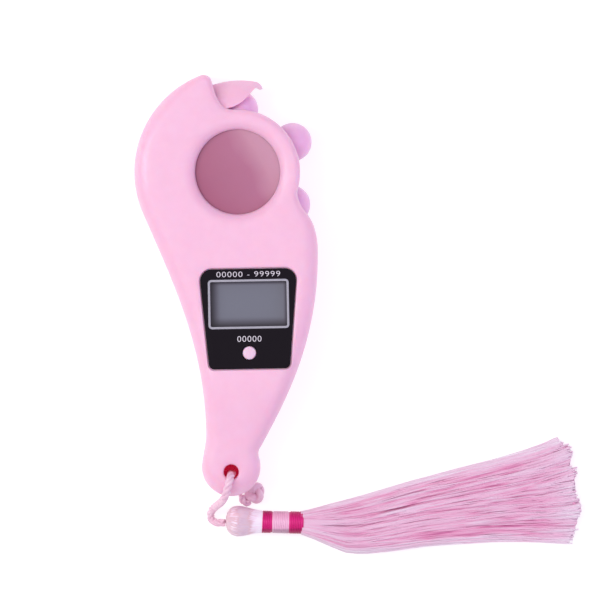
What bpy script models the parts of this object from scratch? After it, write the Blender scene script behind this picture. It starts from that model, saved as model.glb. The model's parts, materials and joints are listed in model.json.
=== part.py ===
"""Hand-held bead tally counter with a tassel, lying on its back.

Metres, +Z up. The front face looks up and +Y runs from the tail to the head.
Every place is measured from the axis of the bead wheel. The last step moves
the whole part, so that the origin lies on the floor under the body's middle.
"""

from math import atan2, ceil, cos, degrees, hypot, pi, radians, sin

import bmesh
import bpy
from mathutils import Vector

MM = 0.001

# Clearances
SEAT_GAP = 0.3 * MM
OVERRUN = 1.0 * MM
SEAM = 0.3 * MM

# Bead wheel
BEAD_COUNT = 6
BEAD_RADIUS = 4.25 * MM
BEAD_CIRCLE = 13.75 * MM
BEAD_CLEARANCE = 0.5 * MM
SWEEP_CLEARANCE = 0.75 * MM
FIRST_BEAD_ANGLE = 27.8
SPIGOT_RADIUS = 1.0 * MM
SPIGOT_END = 6.9 * MM
WHEEL_RADIUS = 11.2 * MM
WHEEL_THICKNESS = 4.8 * MM
HUB_RADIUS = 4.0 * MM
AXLE_RADIUS = 1.5 * MM
AXLE_SEAT_DEPTH = 2.3 * MM
WASHER_RADIUS = 3.4 * MM
WASHER_THICKNESS = 0.5 * MM
MAGNET_RADIUS = 1.0 * MM
MAGNET_HEIGHT = 1.5 * MM
MAGNET_CIRCLE = 9.2 * MM

# Body
HALF_THICKNESS = 8.0 * MM
HEAD_WALL = 4.0 * MM
SIDE_WALL = 1.8 * MM
FRONT_WALL = 1.8 * MM
REAR_WALL = 2.6 * MM
EDGE_RADIUS = 3.0 * MM
BODY_WIDTH = 40.1 * MM
SHOULDER_DROP = 17.5 * MM
AXIS_TO_TAIL = 64.86 * MM
TAIL_OFFSET = 2.56 * MM
TAIL_RADIUS = 6.46 * MM
TAIL_HOLE_RADIUS = 1.65 * MM
TAIL_HOLE_DROP = 1.1 * MM
PARTITION = 1.75 * MM
TAIL_BLOCK = 19.3 * MM

# Round window
WINDOW_RADIUS = 9.34 * MM
WINDOW_RIM_WIDTH = 2.0 * MM
WINDOW_RIM_DEPTH = 1.3 * MM
PANE_THICKNESS = 1.1 * MM
PANE_LEDGE = 1.0 * MM
PANE_LIFT = 0.2 * MM

# Hood over the top bead
HOOD_WALL = 1.1 * MM
HOOD_SETBACK = 2.65 * MM
HOOD_LOW = 1.0 * MM
HOOD_LIP = 0.8 * MM

# Front panel with display and button
PANEL_NUDGE = 0.479 * MM
PANEL_TOP = 21.35 * MM
PANEL_HEIGHT = 22.0 * MM
PANEL_TOP_MARGIN = 5.693 * MM
PANEL_BOTTOM_MARGIN = 2.031 * MM
PANEL_TOP_CORNER = 2.6 * MM
PANEL_BOTTOM_CORNER = 1.2 * MM
PANEL_THICKNESS = 0.5 * MM
PANEL_INSET = 0.1 * MM
PANEL_SIDE_GAP = 0.2 * MM
DISPLAY_SIDE_MARGIN = 0.732 * MM
DISPLAY_HEIGHT = 10.86 * MM
DISPLAY_CORNER = 0.8 * MM
DISPLAY_LINE = 0.5 * MM
DISPLAY_DROP = 7.75 * MM
BUTTON_GAP = 5.32 * MM
BUTTON_RADIUS = 1.45 * MM
BUTTON_PROUD = 0.3 * MM
BUTTON_DOME_SHARES = ((1.0, 0.0), (0.85, 0.65), (0.5, 0.9), (0.0, 1.0))
BUTTON_FLANGE = 2.4 * MM
BUTTON_FLANGE_HEIGHT = 0.6 * MM
BUTTON_TRAVEL = 0.5 * MM

# Display module, board and its parts
GLASS_SIDE_LAP = 0.6 * MM
GLASS_END_LAP = 0.87 * MM
GLASS_THICKNESS = 1.5 * MM
HOLDER_WALL = 1.0 * MM
HOLDER_LEDGE = 0.9 * MM
ZEBRA_MARGIN = 1.7 * MM
ZEBRA_WIDTH = 1.6 * MM
BOARD_THICKNESS = 1.0 * MM
BOARD_TOP_MARGIN = 0.6 * MM
BOARD_BOTTOM_MARGIN = 2.4 * MM
CHIP_RADIUS = 2.8 * MM
CHIP_HEIGHT = 1.4 * MM
CHIP_DOME_SHARES = ((1.0, 0.0), (0.92, 0.4), (0.7, 0.78), (0.35, 0.96), (0.0, 1.0))
SWITCH_SIZE = 4.5 * MM
SWITCH_HEIGHT = 1.9 * MM
PLUNGER_RADIUS = 0.7 * MM
PLUNGER_LENGTH = 1.2 * MM
PLUNGER_PROUD = 0.5 * MM
BOARD_SCREW_SPREAD = 5.0 * MM
BOSS_WALL = 0.95 * MM

# Cell, contacts and battery door
CELL_RADIUS = 5.8 * MM
CELL_HEIGHT = 5.4 * MM
CELL_DROP = 1.9 * MM
CELL_RIB_HEIGHT = 3.0 * MM
CELL_RIB_WALL = 1.0 * MM
CELL_RIB_GAP = 0.9 * MM
CONTACT_THICKNESS = 0.3 * MM
CONTACT_WIDTH = 3.2 * MM
CONTACT_FOOT = 2.2 * MM
DOOR_WIDTH = 15.0 * MM
DOOR_THICKNESS = 1.5 * MM
DOOR_INSET = 0.1 * MM
DOOR_CORNER = 2.0 * MM
DOOR_MARGIN = 1.5 * MM
DOOR_SCREW_MARGIN = 2.5 * MM
DOOR_SCREW_LENGTH = 4.6 * MM
DOOR_GRIP_LENGTH = 7.0 * MM
DOOR_GRIP_WIDTH = 0.5 * MM
DOOR_GRIP_DEPTH = 0.4 * MM
DOOR_GRIP_PITCH = 1.5 * MM
DOOR_GRIP_COUNT = 3

# Sensor
SENSOR_LENGTH = 4.0 * MM
SENSOR_WIDTH = 3.0 * MM
SENSOR_HEIGHT = 1.2 * MM
CHANNEL_DEPTH = 2.0 * MM
FLEX_WIDTH = 2.4 * MM
FLEX_THICKNESS = 0.3 * MM
FLEX_RISE = 1.6 * MM

# Screws and pegs
SCREW_RADIUS = 0.85 * MM
SCREW_HEAD_RADIUS = 1.5 * MM
SCREW_HEAD_HEIGHT = 1.2 * MM
SCREW_SUNK = 0.5 * MM
SCREW_SLOT = 0.5 * MM
SCREW_CROWN_SHARES = (0.8, 0.35)
SCREW_RING_MARGIN = 2.6 * MM
CASE_SCREW_LEFT_ANGLE = -122.6
CASE_SCREW_DROP_SHARE = 1.46985
SMALL_SCREW_RADIUS = 0.65 * MM
SMALL_HEAD_RADIUS = 1.3 * MM
SMALL_HEAD_HEIGHT = 0.9 * MM
PEG_RADIUS = 0.8 * MM
PEG_HEIGHT = 2.0 * MM
PEG_ANGLES = (125.0, 165.0, 205.0)

# Cord and tassel
CORD_RADIUS = 0.9 * MM
TASSEL_NECK_RADIUS = 2.5 * MM
TASSEL_CORE_RADIUS = 1.6 * MM
TASSEL_HEAD_LENGTH = 7.6 * MM
TASSEL_HEAD_RADIUS = 3.45 * MM
TASSEL_HEAD_SHARES = (
    (0.06, 0.51),
    (0.12, 0.71),
    (0.20, 0.88),
    (0.32, 0.99),
    (0.46, 0.97),
    (0.63, 0.89),
    (0.82, 0.79),
)
TASSEL_START = (-3.9 * MM, -77.2 * MM)
TASSEL_REST = 0.2 * MM
WRAP_LENGTHS = (2.26 * MM, 3.43 * MM, 2.91 * MM)

# Levels, up from the floor
SPLIT_Z = HALF_THICKNESS
FRONT_Z = 2 * HALF_THICKNESS
CHAMBER_HALF = BEAD_RADIUS + BEAD_CLEARANCE
PLATE_TOP_Z = SPLIT_Z - CHAMBER_HALF
RING_BOTTOM_Z = SPLIT_Z + CHAMBER_HALF
DOOR_SEAT_Z = DOOR_INSET + DOOR_THICKNESS + SEAT_GAP
CELL_TOP_Z = DOOR_SEAT_Z + CELL_HEIGHT
CONTACT_Z = CELL_TOP_Z + SEAT_GAP
BOARD_Z = CONTACT_Z + CONTACT_THICKNESS + SEAT_GAP
BOARD_TOP_Z = BOARD_Z + BOARD_THICKNESS
FRONT_INNER_Z = FRONT_Z - FRONT_WALL
GLASS_TOP_Z = FRONT_INNER_Z - SEAT_GAP
GLASS_Z = GLASS_TOP_Z - GLASS_THICKNESS
PANEL_Z = FRONT_Z - PANEL_INSET - PANEL_THICKNESS

# Places in plan
CHAMBER_RADIUS = BEAD_CIRCLE + BEAD_RADIUS + SWEEP_CLEARANCE
HEAD_RADIUS = CHAMBER_RADIUS + HEAD_WALL
HOOD_RADIUS = HEAD_RADIUS - HOOD_SETBACK
RING_RADIUS = BEAD_CIRCLE
SHOULDER = (BODY_WIDTH - HEAD_RADIUS, -SHOULDER_DROP)
TAIL_CENTRE = (-TAIL_OFFSET, -AXIS_TO_TAIL)
TAIL_HOLE = (-TAIL_OFFSET, -AXIS_TO_TAIL - TAIL_HOLE_DROP)
PANEL_TOP_Y = -PANEL_TOP
PANEL_BOTTOM_Y = PANEL_TOP_Y - PANEL_HEIGHT
DISPLAY_Y = PANEL_TOP_Y - DISPLAY_DROP
BUTTON_Y = DISPLAY_Y - DISPLAY_HEIGHT / 2 - BUTTON_GAP
CELL_Y = DISPLAY_Y - CELL_DROP
CAVITY_TOP_Y = -CHAMBER_RADIUS - PARTITION
CAVITY_BOTTOM_Y = -AXIS_TO_TAIL - TAIL_RADIUS + TAIL_BLOCK
BOARD_TOP_Y = CAVITY_TOP_Y - BOARD_TOP_MARGIN
BOARD_BOTTOM_Y = PANEL_BOTTOM_Y - BOARD_BOTTOM_MARGIN
TAPER_START_Y = PANEL_BOTTOM_Y - SEAT_GAP
TAPER_END_Y = -AXIS_TO_TAIL - TAIL_RADIUS

# Outline of the body: angles about the wheel's axis, and shares
PEAK_ANGLE = 110.0
BACK_ANGLE = 202.5
NOTCH_ANGLE = 105.0
RING_START_ANGLE = -16.0
RING_END_ANGLE = 92.0
TAIL_START_ANGLE = 172.0
TAIL_END_ANGLE = 372.0
NOTCH_SHARE = 0.818
PEAK_SHARE = 0.919
SHOULDER_TOP_SHARES = (0.879, 0.554)
BACK_HANDLE_SHARES = (0.32, 0.38)
TAIL_LEFT_HANDLE_SHARES = (0.38, 0.32)
TAIL_RIGHT_HANDLE_SHARES = (0.46, 0.46)
BELLY_HANDLE_SHARES = (0.286, 0.418)
SHOULDER_HANDLE_SHARES = (0.40, 0.27)
THROAT_HANDLE_SHARES = (0.35, 0.32)
RING_END_HANDLE_SHARES = (0.40, 0.43)
NOTCH_HANDLE_SHARES = (0.35, 0.35)
PEAK_HANDLE_SHARES = (0.42, 0.38)
BACK_FADE_SHARE = 0.35
SHOULDER_EDGE_SHARE = 0.6
MITRE_LIMIT_SHARE = 0.5
PANEL_LEAN_SHARE = 0.25
WAIST_LEFT_SHARES = (-0.834, 1.186)
WAIST_RIGHT_SHARES = (0.992, 0.613)
RING_EDGE_SHARE = 0.4
PEAK_EDGE_SHARE = 0.45
TAIL_FRONT_SHARE = 0.30
TAIL_REAR_SHARE = 0.62
RIM_DEPTH_SHARE = 0.85
HOOD_RISE_SHARE = 0.15
HOOD_FALL_POWER = 2.2

EDGE_STEPS = 3
TAPER_SLICES = 6
ROUND_STEPS = 40
SMALL_STEPS = 14


def polar(radius, angle):
    """A point at an angle in degrees about the wheel's axis."""
    return (radius * cos(radians(angle)), radius * sin(radians(angle)))


def material(name, colour, roughness, metallic=0.0, alpha=1.0):
    """A Principled material of one colour."""
    made = bpy.data.materials.new(name)
    made.use_nodes = True
    shader = made.node_tree.nodes["Principled BSDF"]
    shader.inputs["Base Color"].default_value = (*colour, 1.0)
    shader.inputs["Roughness"].default_value = roughness
    shader.inputs["Metallic"].default_value = metallic
    shader.inputs["Alpha"].default_value = alpha
    made.diffuse_color = (*colour, alpha)
    return made


def solid(name, shape, look, parent=None, smooth_angle=35.0):
    """An object of its own from a finished bmesh, outward facing."""
    bmesh.ops.recalc_face_normals(shape, faces=shape.faces)
    mesh = bpy.data.meshes.new(name)
    shape.to_mesh(mesh)
    shape.free()
    mesh.shade_smooth()
    mesh.set_sharp_from_angle(angle=radians(smooth_angle))
    made = bpy.data.objects.new(name, mesh)
    bpy.context.collection.objects.link(made)
    if look:
        mesh.materials.append(look)
    if parent:
        made.parent = parent
    return made


def helper(name, shape):
    """A cutter or an addition, hidden from view and left out of the part."""
    made = solid(name, shape, None)
    made.hide_render = True
    made.display_type = "WIRE"
    return made


def combine(target, operation, shapes):
    """Boolean each shape of a list of (name, bmesh) pairs with the target."""
    for name, shape in shapes:
        modifier = target.modifiers.new(name, "BOOLEAN")
        modifier.operation = operation
        modifier.solver = "EXACT"
        modifier.object = helper(f"{target.name}_{name}", shape)


def prism(points, low, high):
    """A flat outline extruded from the level low to the level high."""
    shape = bmesh.new()
    bottom = [shape.verts.new((x, y, low)) for x, y in points]
    top = [shape.verts.new((x, y, high)) for x, y in points]
    shape.faces.new(bottom[::-1])
    shape.faces.new(top)
    for i in range(len(points)):
        j = (i + 1) % len(points)
        shape.faces.new((bottom[i], bottom[j], top[j], top[i]))
    return shape


def circle(radius, centre=(0.0, 0.0), steps=ROUND_STEPS):
    """Points of a circle."""
    turn = 2 * pi / steps
    return [
        (centre[0] + radius * cos(turn * i), centre[1] + radius * sin(turn * i))
        for i in range(steps)
    ]


def rounded(corners, radii, steps=5):
    """A convex outline, given anticlockwise, with each corner rounded."""
    points = []
    count = len(corners)
    for i, radius in enumerate(radii):
        here = Vector(corners[i])
        before = (Vector(corners[i - 1]) - here).normalized()
        after = (Vector(corners[(i + 1) % count]) - here).normalized()
        half = before.angle(after) / 2
        centre = here + (before + after).normalized() * (radius / sin(half))
        first = here + before * (radius * cos(half) / sin(half)) - centre
        sweep = pi - 2 * half
        base = atan2(first.y, first.x)
        for k in range(steps + 1):
            angle = base + sweep * k / steps
            points.append((centre.x + radius * cos(angle), centre.y + radius * sin(angle)))
    return points


def rectangle(centre, width, height, corner):
    """A rectangle with rounded corners."""
    x, y = centre
    corners = [
        (x - width / 2, y - height / 2),
        (x + width / 2, y - height / 2),
        (x + width / 2, y + height / 2),
        (x - width / 2, y + height / 2),
    ]
    if corner:
        return rounded(corners, [corner] * 4)
    return corners


def lathe(profile, centre=(0.0, 0.0), steps=ROUND_STEPS):
    """Turn a closed profile of (radius, z) points about a vertical axis."""
    shape = bmesh.new()
    rings = []
    for radius, z in profile:
        if radius == 0:
            rings.append([shape.verts.new((centre[0], centre[1], z))] * steps)
            continue
        rings.append([shape.verts.new((x, y, z)) for x, y in circle(radius, centre, steps)])
    for i, ring in enumerate(rings):
        after = rings[(i + 1) % len(rings)]
        for k in range(steps):
            j = (k + 1) % steps
            loop = []
            for vertex in (ring[k], ring[j], after[j], after[k]):
                if vertex not in loop:
                    loop.append(vertex)
            if len(loop) > 2:
                shape.faces.new(loop)
    return shape


def pivot(name, x, y, z):
    """An empty on a joint's axis."""
    empty = bpy.data.objects.new(name, None)
    empty.location = (x, y, z)
    bpy.context.collection.objects.link(empty)
    return empty


def hold(made, parent):
    """Parent a piece that was built in place, with its origin on the pivot."""
    made.data.transform(parent.matrix_basis.inverted())
    made.parent = parent


# The body's outline


def sweep(start, start_angle, end, end_angle, handle_shares, count):
    """A cubic curve that leaves and arrives at given angles."""
    reach = hypot(end[0] - start[0], end[1] - start[1])
    first = reach * handle_shares[0]
    last = reach * handle_shares[1]
    a = (start[0] + first * cos(radians(start_angle)), start[1] + first * sin(radians(start_angle)))
    b = (end[0] - last * cos(radians(end_angle)), end[1] - last * sin(radians(end_angle)))
    points = []
    for i in range(count):
        t = i / count
        s = 1 - t
        points.append(tuple(
            s ** 3 * start[k] + 3 * s * s * t * a[k] + 3 * s * t * t * b[k] + t ** 3 * end[k]
            for k in (0, 1)
        ))
    return points


def arc(radius, first, last, count, centre=(0.0, 0.0)):
    """Points of an arc, without its last one."""
    step = (last - first) / count
    points = [polar(radius, first + step * i) for i in range(count)]
    return [(centre[0] + x, centre[1] + y) for x, y in points]


def body_outline():
    """The outline, anticlockwise, with the share of the edge radius at each point."""
    peak = polar(HEAD_RADIUS, PEAK_ANGLE)
    back = polar(HEAD_RADIUS, BACK_ANGLE)
    waist_left = tuple(TAIL_CENTRE[k] + TAIL_RADIUS * WAIST_LEFT_SHARES[k] for k in (0, 1))
    waist_right = tuple(TAIL_CENTRE[k] + TAIL_RADIUS * WAIST_RIGHT_SHARES[k] for k in (0, 1))
    tail_left = arc(TAIL_RADIUS, TAIL_START_ANGLE, TAIL_END_ANGLE, 1, TAIL_CENTRE)[0]
    tail_right = arc(TAIL_RADIUS, TAIL_END_ANGLE, TAIL_START_ANGLE, 1, TAIL_CENTRE)[0]
    shoulder_top = tuple(SHOULDER[k] * SHOULDER_TOP_SHARES[k] for k in (0, 1))
    ring_start = polar(RING_RADIUS, RING_START_ANGLE)
    ring_end = polar(RING_RADIUS, RING_END_ANGLE)
    notch = polar(HEAD_RADIUS * NOTCH_SHARE, NOTCH_ANGLE)
    under_peak = polar(HEAD_RADIUS * PEAK_SHARE, NOTCH_ANGLE)
    ring = RING_EDGE_SHARE
    peak_edge = PEAK_EDGE_SHARE
    side = SHOULDER_EDGE_SHARE
    back_down = BACK_ANGLE + 90
    tail_in = TAIL_START_ANGLE + 90
    tail_out = TAIL_END_ANGLE + 90
    runs = [
        (arc(HEAD_RADIUS, PEAK_ANGLE, BACK_ANGLE, 15), peak_edge, 1.0, BACK_FADE_SHARE),
        (sweep(back, back_down, waist_left, -90, BACK_HANDLE_SHARES, 10), 1.0, 1.0, 1.0),
        (sweep(waist_left, -90, tail_left, tail_in, TAIL_LEFT_HANDLE_SHARES, 4), 1.0, 1.0, 1.0),
        (arc(TAIL_RADIUS, TAIL_START_ANGLE, TAIL_END_ANGLE, 13, TAIL_CENTRE), 1.0, 1.0, 1.0),
        (sweep(tail_right, tail_out, waist_right, 60, TAIL_RIGHT_HANDLE_SHARES, 3), 1.0, 1.0, 1.0),
        (sweep(waist_right, 60, SHOULDER, 90, BELLY_HANDLE_SHARES, 9), 1.0, 1.0, 1.0),
        (sweep(SHOULDER, 90, shoulder_top, 128, SHOULDER_HANDLE_SHARES, 4), 1.0, side, 1.0),
        (sweep(shoulder_top, 132, ring_start, 74, THROAT_HANDLE_SHARES, 4), side, ring, 1.0),
        (arc(RING_RADIUS, RING_START_ANGLE, RING_END_ANGLE, 14), ring, ring, 1.0),
        (sweep(ring_end, 182, notch, 104.5, RING_END_HANDLE_SHARES, 5), ring, ring, 1.0),
        (sweep(notch, 104, under_peak, 104, NOTCH_HANDLE_SHARES, 2), ring, ring, 1.0),
        (sweep(under_peak, 106, peak, 200, PEAK_HANDLE_SHARES, 4), ring, peak_edge, 1.0),
    ]
    points = []
    for run, first, last, fade_share in runs:
        for i, point in enumerate(run):
            t = min(1.0, i / len(run) / fade_share)
            points.append((point, first + (last - first) * t * t * (3 - 2 * t)))
    return points


def inset(points, depths):
    """Move each point of an anticlockwise outline inwards."""
    moved = []
    count = len(points)
    for i, here in enumerate(points):
        before = Vector(here) - Vector(points[i - 1])
        after = Vector(points[(i + 1) % count]) - Vector(here)
        first = Vector((-before.y, before.x)).normalized()
        second = Vector((-after.y, after.x)).normalized()
        middle = (first + second).normalized()
        step = middle * (depths[i] / max(middle.dot(first), MITRE_LIMIT_SHARE))
        moved.append((here[0] + step.x, here[1] + step.y))
    return moved


def band(points, low, high):
    """The part of an outline that lies between two levels of y."""
    for level, side in ((low, 1), (high, -1)):
        kept = []
        for i, here in enumerate(points):
            before = points[i - 1]
            inside = (here[1] - level) * side >= 0
            was_inside = (before[1] - level) * side >= 0
            if inside != was_inside:
                share = (level - before[1]) / (here[1] - before[1])
                kept.append((before[0] + (here[0] - before[0]) * share, level))
            if inside:
                kept.append(here)
        points = kept
    return points


def taper(y, share):
    """How much of the half thickness is left at y, where the tail grows thin."""
    t = (TAPER_START_Y - y) / (TAPER_START_Y - TAPER_END_Y)
    t = min(1.0, max(0.0, t))
    return 1.0 - share * t * t * (3 - 2 * t)


def front_level(y):
    """Level of the front face."""
    return SPLIT_Z + HALF_THICKNESS * taper(y, TAIL_FRONT_SHARE)


def rear_level(y):
    """Level of the rear face."""
    return SPLIT_Z - HALF_THICKNESS * taper(y, TAIL_REAR_SHARE)


OUTLINE = [point for point, share in body_outline()]
EDGE_SHARES = [share for point, share in body_outline()]


def sides_at(y):
    """The body's left and right side at y."""
    places = []
    for before, here in zip(OUTLINE[-1:] + OUTLINE, OUTLINE):
        if (before[1] > y) != (here[1] > y):
            share = (y - before[1]) / (here[1] - before[1])
            places.append(before[0] + (here[0] - before[0]) * share)
    return min(places), max(places)


# Widths that follow the body's sides
PANEL_TOP_LEFT, PANEL_TOP_RIGHT = sides_at(PANEL_TOP_Y)
PANEL_BOTTOM_LEFT, PANEL_BOTTOM_RIGHT = sides_at(PANEL_BOTTOM_Y)
PANEL_TOP_WIDTH = PANEL_TOP_RIGHT - PANEL_TOP_LEFT - 2 * PANEL_TOP_MARGIN
PANEL_BOTTOM_WIDTH = PANEL_BOTTOM_RIGHT - PANEL_BOTTOM_LEFT - 2 * PANEL_BOTTOM_MARGIN
PANEL_TOP_MIDDLE = (PANEL_TOP_LEFT + PANEL_TOP_RIGHT) / 2
PANEL_BOTTOM_MIDDLE = (PANEL_BOTTOM_LEFT + PANEL_BOTTOM_RIGHT) / 2
PANEL_LEAN = (PANEL_TOP_MIDDLE - PANEL_BOTTOM_MIDDLE) * PANEL_LEAN_SHARE
PANEL_OFFSET = PANEL_BOTTOM_MIDDLE + PANEL_LEAN + PANEL_NUDGE
DISPLAY_FALL = DISPLAY_DROP + DISPLAY_HEIGHT / 2
PANEL_NARROWING = (PANEL_TOP_WIDTH - PANEL_BOTTOM_WIDTH) * DISPLAY_FALL / PANEL_HEIGHT
DISPLAY_WIDTH = PANEL_TOP_WIDTH - PANEL_NARROWING - 2 * DISPLAY_SIDE_MARGIN
GLASS_WIDTH = DISPLAY_WIDTH + 2 * GLASS_SIDE_LAP
GLASS_HEIGHT = DISPLAY_HEIGHT + 2 * GLASS_END_LAP
ZEBRA_LENGTH = GLASS_WIDTH - 2 * ZEBRA_MARGIN


def slice_tail(shape):
    """Cut faces at even levels of y where the tail grows thin, so that they can bend."""
    for k in range(TAPER_SLICES):
        y = TAPER_START_Y + (TAPER_END_Y - TAPER_START_Y) * k / TAPER_SLICES
        everything = shape.verts[:] + shape.edges[:] + shape.faces[:]
        bmesh.ops.bisect_plane(shape, geom=everything, plane_co=(0, y, 0), plane_no=(0, 1, 0))


def half_block(side, tail_share):
    """One half of the body as a block with rounded edges; side is 1 for the front."""
    radii = [EDGE_RADIUS * share for share in EDGE_SHARES]
    levels = [(0.0, None)] + [(k / EDGE_STEPS, pi / 2 * k / EDGE_STEPS) for k in range(EDGE_STEPS + 1)]
    shape = bmesh.new()
    rings = []
    for share, angle in levels:
        if angle is None:
            rings.append([shape.verts.new((x, y, SEAM / 2)) for x, y in OUTLINE])
            continue
        moved = inset(OUTLINE, [radius * (1 - cos(angle)) for radius in radii])
        heights = [HALF_THICKNESS - radius * (1 - sin(angle)) for radius in radii]
        rings.append([shape.verts.new((p[0], p[1], z)) for p, z in zip(moved, heights)])
    count = len(OUTLINE)
    for low, high in zip(rings, rings[1:]):
        for i in range(count):
            j = (i + 1) % count
            shape.faces.new((low[i], low[j], high[j], high[i]))
    shape.faces.new(rings[0][::-1])
    shape.faces.new(rings[-1])
    slice_tail(shape)
    for vertex in shape.verts:
        height = vertex.co.z * taper(vertex.co.y, tail_share)
        vertex.co.z = SPLIT_Z + side * height
    bmesh.ops.triangulate(shape, faces=shape.faces)
    return shape


def cavity(side, wall, tail_share):
    """The hollow below the wheel chamber, open towards the seam."""
    points = band(inset(OUTLINE, [SIDE_WALL] * len(OUTLINE)), CAVITY_BOTTOM_Y, CAVITY_TOP_Y)
    shape = prism(points, -OVERRUN, HALF_THICKNESS - wall)
    slice_tail(shape)
    for vertex in shape.verts:
        if vertex.co.z > 0:
            vertex.co.z *= taper(vertex.co.y, tail_share)
        vertex.co.z = SPLIT_Z + side * vertex.co.z
    bmesh.ops.triangulate(shape, faces=shape.faces)
    return shape


def mid_wall(angle):
    """A place in the middle of the head's side wall."""
    return polar((CHAMBER_RADIUS + HEAD_RADIUS) / 2, angle)


TAIL_SCREW = (TAIL_HOLE[0] + TAIL_HOLE_RADIUS / 2, (CAVITY_BOTTOM_Y + TAIL_HOLE[1]) / 2)
CASE_SCREW_RIGHT_ANGLE = degrees(atan2(SHOULDER[1] * CASE_SCREW_DROP_SHARE, SHOULDER[0]))
CASE_SCREWS = [
    polar(CHAMBER_RADIUS + SCREW_RING_MARGIN, angle)
    for angle in (CASE_SCREW_LEFT_ANGLE, CASE_SCREW_RIGHT_ANGLE)
]
CASE_SCREWS.append(TAIL_SCREW)
CASE_SCREW_TOP_SHARE = 0.55
BOARD_SCREWS = [
    (PANEL_OFFSET + side * BOARD_SCREW_SPREAD, PANEL_BOTTOM_Y) for side in (-1, 1)
]
BOARD_SCREW_TOP = FRONT_INNER_Z - OVERRUN


def screw_levels(y):
    """Bottom of the head, top of the head and tip of a case screw at y."""
    low = rear_level(y) + SCREW_SUNK
    tip = SPLIT_Z + (front_level(y) - SPLIT_Z) * CASE_SCREW_TOP_SHARE
    return low, low + SCREW_HEAD_HEIGHT, tip


# Front shell


def panel_outline(grow):
    """The panel's outline, grown on every side."""
    top = PANEL_TOP_WIDTH / 2 + grow
    bottom = PANEL_BOTTOM_WIDTH / 2 + grow
    corners = [
        (PANEL_OFFSET - bottom, PANEL_BOTTOM_Y - grow),
        (PANEL_OFFSET + bottom, PANEL_BOTTOM_Y - grow),
        (PANEL_OFFSET + top, PANEL_TOP_Y + grow),
        (PANEL_OFFSET - top, PANEL_TOP_Y + grow),
    ]
    small = PANEL_BOTTOM_CORNER + grow
    large = PANEL_TOP_CORNER + grow
    return rounded(corners, [small, small, large, large])


def window_cutter():
    """The round window with its softly rolled rim."""
    lip_z = RING_BOTTOM_Z + PANE_LIFT + PANE_THICKNESS + SEAT_GAP
    depth = min(WINDOW_RIM_DEPTH, (FRONT_Z - lip_z) * RIM_DEPTH_SHARE)
    profile = [(0.0, RING_BOTTOM_Z - OVERRUN), (WINDOW_RADIUS, RING_BOTTOM_Z - OVERRUN)]
    for k in range(EDGE_STEPS + 1):
        angle = pi / 2 * k / EDGE_STEPS
        radius = WINDOW_RADIUS + WINDOW_RIM_WIDTH * (1 - cos(angle))
        profile.append((radius, FRONT_Z - depth * (1 - sin(angle))))
    profile.append((WINDOW_RADIUS + WINDOW_RIM_WIDTH, FRONT_Z + OVERRUN))
    profile.append((0.0, FRONT_Z + OVERRUN))
    return lathe(profile)


def hood_level(radius):
    """Underside of the hood, which falls away outwards over the beads."""
    share = min(1.0, max(0.0, (radius - RING_RADIUS) / (HOOD_RADIUS - RING_RADIUS)))
    top = CHAMBER_HALF + HOOD_WALL * HOOD_RISE_SHARE
    return SPLIT_Z + HOOD_LOW + (top - HOOD_LOW) * (1 - share ** HOOD_FALL_POWER)


# Free edge of the hood: angle about the wheel and share of the way out
HOOD_EDGE_SHARES = (
    (73.4, 0.93),
    (75.5, 0.83),
    (78.0, 0.76),
    (80.9, 0.56),
    (85.6, 0.26),
    (90.0, 0.11),
    (94.1, 0.04),
    (100.0, 0.04),
    (108.5, 0.04),
)


def hood():
    """The thin curled hood in the notch, over the top bead."""
    steps = 5
    shape = bmesh.new()
    top = []
    bottom = []
    for angle, start_share in HOOD_EDGE_SHARES:
        upper = []
        lower = []
        for k in range(steps + 1):
            share = start_share + (1 - start_share) * k / steps
            radius = RING_RADIUS + (HOOD_RADIUS - RING_RADIUS) * share
            x, y = polar(radius, angle)
            lift = HOOD_LIP * (1 - k / steps) ** 2
            low = hood_level(radius)
            lower.append(shape.verts.new((x, y, low)))
            upper.append(shape.verts.new((x, y, low + HOOD_WALL + lift)))
        top.append(upper)
        bottom.append(lower)
    last = len(top) - 1
    for i in range(last):
        for k in range(steps):
            shape.faces.new((top[i][k], top[i][k + 1], top[i + 1][k + 1], top[i + 1][k]))
            shape.faces.new((bottom[i][k], bottom[i + 1][k], bottom[i + 1][k + 1], bottom[i][k + 1]))
        for k in (0, steps):
            shape.faces.new((top[i][k], top[i + 1][k], bottom[i + 1][k], bottom[i][k]))
    for i in (0, last):
        for k in range(steps):
            shape.faces.new((top[i][k], top[i][k + 1], bottom[i][k + 1], bottom[i][k]))
    bmesh.ops.triangulate(shape, faces=shape.faces)
    return shape


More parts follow.
